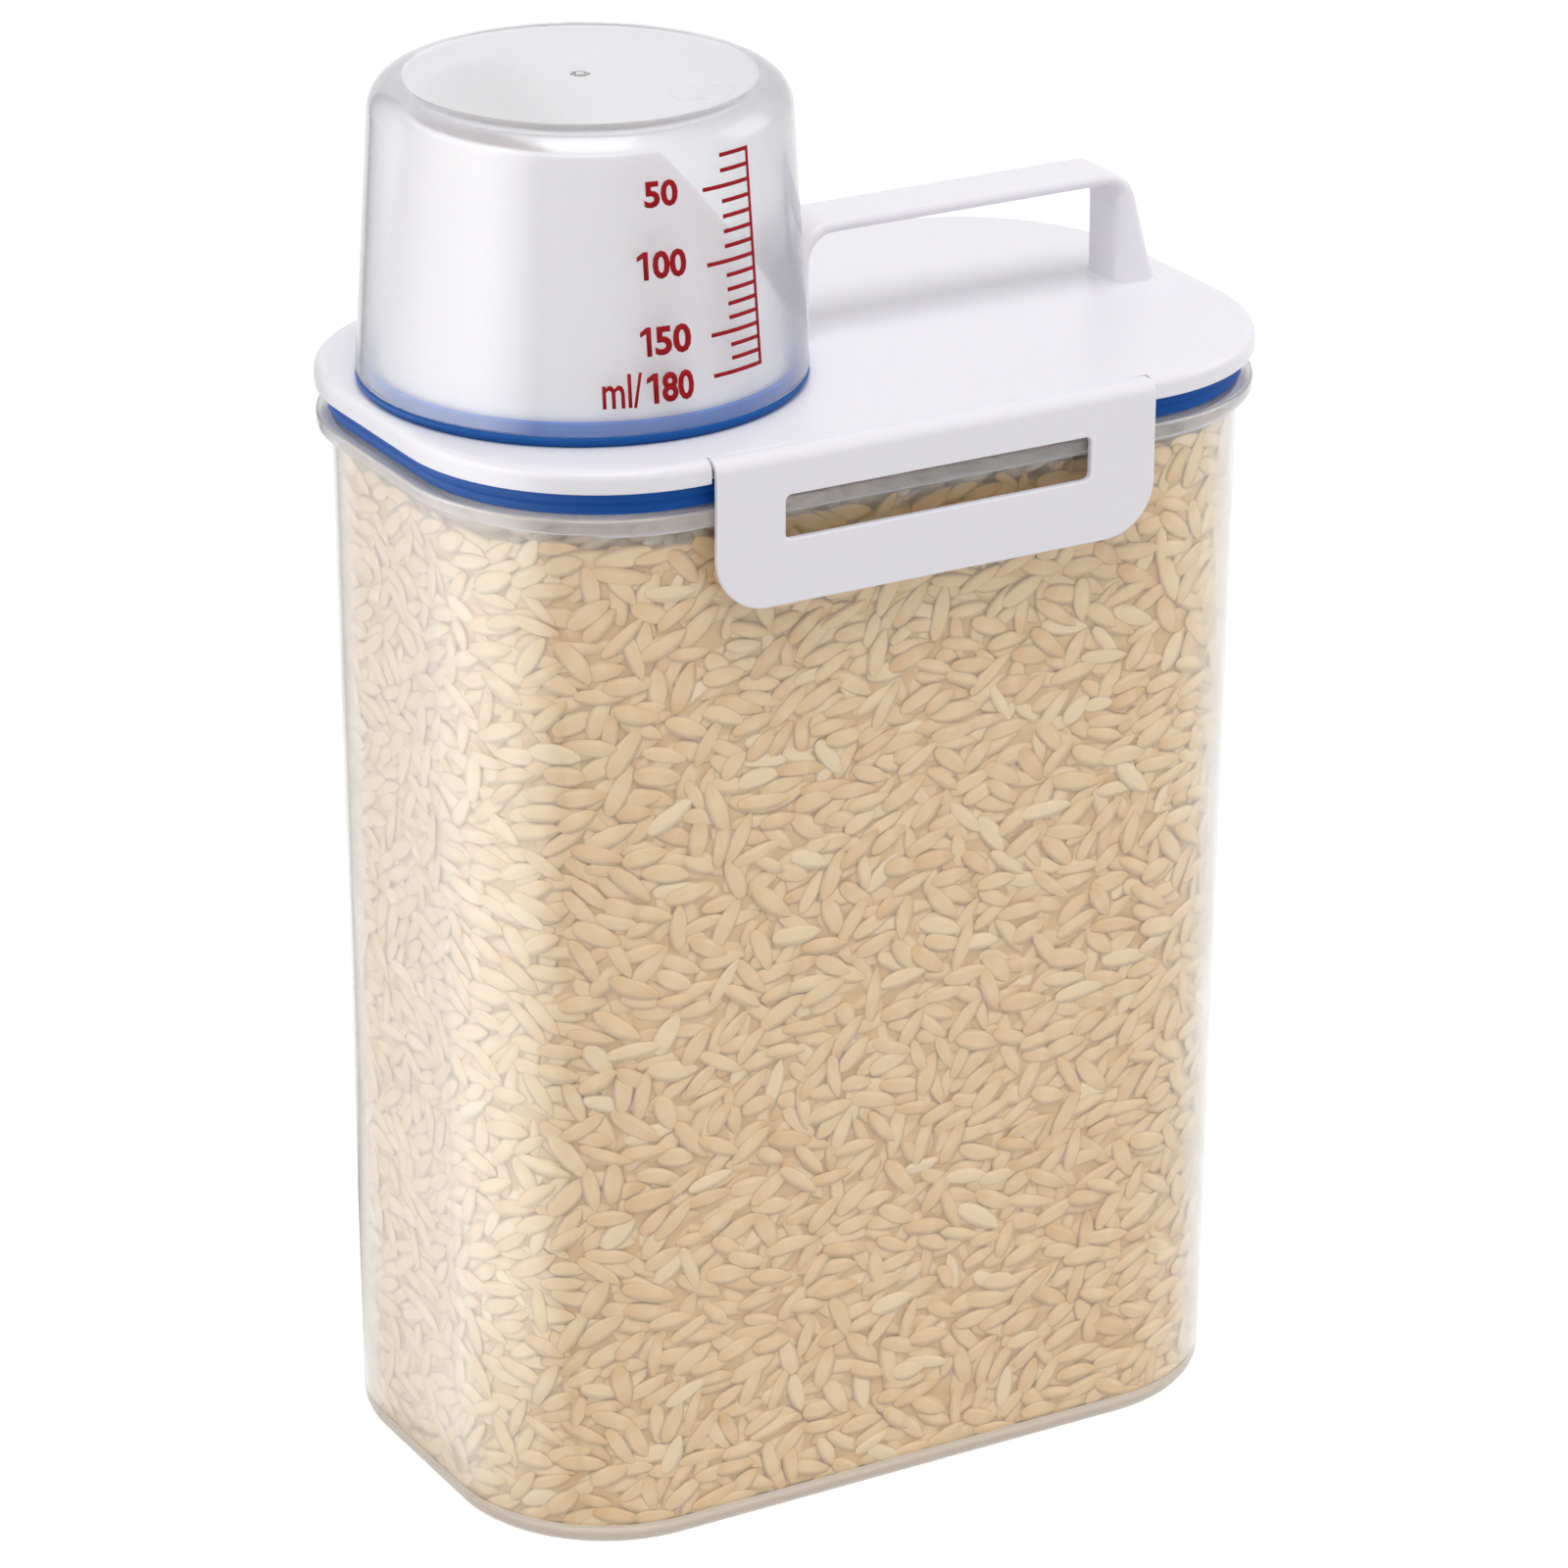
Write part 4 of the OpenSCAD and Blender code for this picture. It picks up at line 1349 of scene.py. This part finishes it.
def seen_by_camera(tree):
    """A socket that is 1 for what the camera sees, straight, in a mirror or through glass."""
    rays = add_node(tree, "ShaderNodeLightPath")
    seen = rays["Is Camera Ray"]
    for kind_of_ray in ("Is Glossy Ray", "Is Transmission Ray"):
        seen = math_node(tree, "MAXIMUM", seen, rays[kind_of_ray])
    return seen


def white_behind(name, color, glow):
    """A pale matt surface that also shines at the camera, and at what mirrors or passes it."""
    material, tree, shader = new_material(name)
    fill_in(shader, {
        "Base Color": color,
        "Roughness": 0.9,
        "Emission Color": (1, 1, 1),
        "Emission Strength": math_node(tree, "MULTIPLY", seen_by_camera(tree), glow),
    })
    return material


def studio_floor():
    """A large round floor under the bin."""
    disc = turned([(radius, FLOOR_Z) for radius in FLOOR_RADII], 0, 64)[::-1]
    floor = piece("studio_floor", skin(disc, last_cap=True), None, [], None,
                  white_behind("pale_floor", (0.8, 0.8, 0.8), FLOOR_GLOW))


def studio_world():
    """An even surround: plain light for the object, and white where the camera sees it, also
    in a reflection or through clear plastic."""
    world = bpy.data.worlds.new("studio")
    bpy.context.scene.world = world
    world.use_nodes = True
    tree = world.node_tree
    lift = add_node(tree, "ShaderNodeMapRange", {
        "Value": seen_by_camera(tree), "To Min": AROUND, "To Max": 1.0})
    fill_in(node_of(tree, "BACKGROUND"), {"Color": (1, 1, 1), "Strength": lift["Result"]})


def stand_matrix(place, right, up, back):
    """A transform with these three directions as its axes."""
    return Matrix([*np.transpose([right, up, back, place]).tolist(), (0, 0, 0, 1)])


def softbox(name, place, side, power):
    """A square lamp at a place, turned to the bin."""
    data = bpy.data.lights.new(name, "AREA")
    data.shape = "SQUARE"
    data.size = side
    data.energy = power
    lamp = add_object(name, data)
    back = np.array(place, float) - np.array(LAMP_AIM, float)
    back /= np.linalg.norm(back)
    right = np.cross((0, 0, 1), back)
    right /= np.linalg.norm(right)
    lamp.matrix_world = stand_matrix(place, right, np.cross(back, right), back)


def gloss_card():
    """A curved card that lies and stands round one side of the bin, and shows only in its
    gloss. Its glow fades out towards both ends and towards the bin."""
    bearing = np.linspace(CARD_BEARINGS[0], CARD_BEARINGS[-1], 79)
    fade = np.interp(bearing, CARD_BEARINGS, CARD_GLOWS)
    cos, sin = np.cos(np.radians(bearing)), np.sin(np.radians(bearing))
    section = [(CARD_INNER, CARD_LOW), (CARD_AWAY, CARD_LOW), (CARD_AWAY, CARD_TOP)]
    grid = [points_at(radius * cos, radius * sin, z) for radius, z in section]
    material, tree, shader = new_material("glowing_card")
    fill_in(shader, {"Base Color": (0, 0, 0), "Emission Color": (1, 1, 1),
                     "Emission Strength": attribute_node(tree, "glow")})
    card = piece("gloss_card", skin(grid, ring=False), None, [], None, material)
    point_values(card.data, "glow", np.outer(CARD_SHARES, fade))
    for ray in ("camera", "diffuse", "transmission", "shadow"):
        setattr(card, f"visible_{ray}", False)


def studio_camera():
    """The camera, from its azimuth, elevation and roll in degrees."""
    az, el, roll = (math.radians(a) for a in (VIEW_AZ, VIEW_EL, VIEW_ROLL))
    back = np.array([math.cos(el) * math.sin(az), -math.cos(el) * math.cos(az), math.sin(el)])
    level = np.array([math.cos(az), math.sin(az), 0])
    upright = np.cross(back, level)
    right = math.cos(roll) * level + math.sin(roll) * upright
    data = bpy.data.cameras.new("studio_camera")
    data.lens = LENS
    data.sensor_width = SENSOR
    data.clip_start, data.clip_end = 0.01, 50
    camera = add_object("studio_camera", data)
    camera.matrix_world = stand_matrix(VIEW_PLACE, right, np.cross(back, right), back)
    bpy.context.scene.camera = camera


studio_floor()
studio_world()
for lamp_values in LAMPS:
    softbox(*lamp_values)
gloss_card()
studio_camera()
bpy.context.scene.view_settings.view_transform = "Standard"
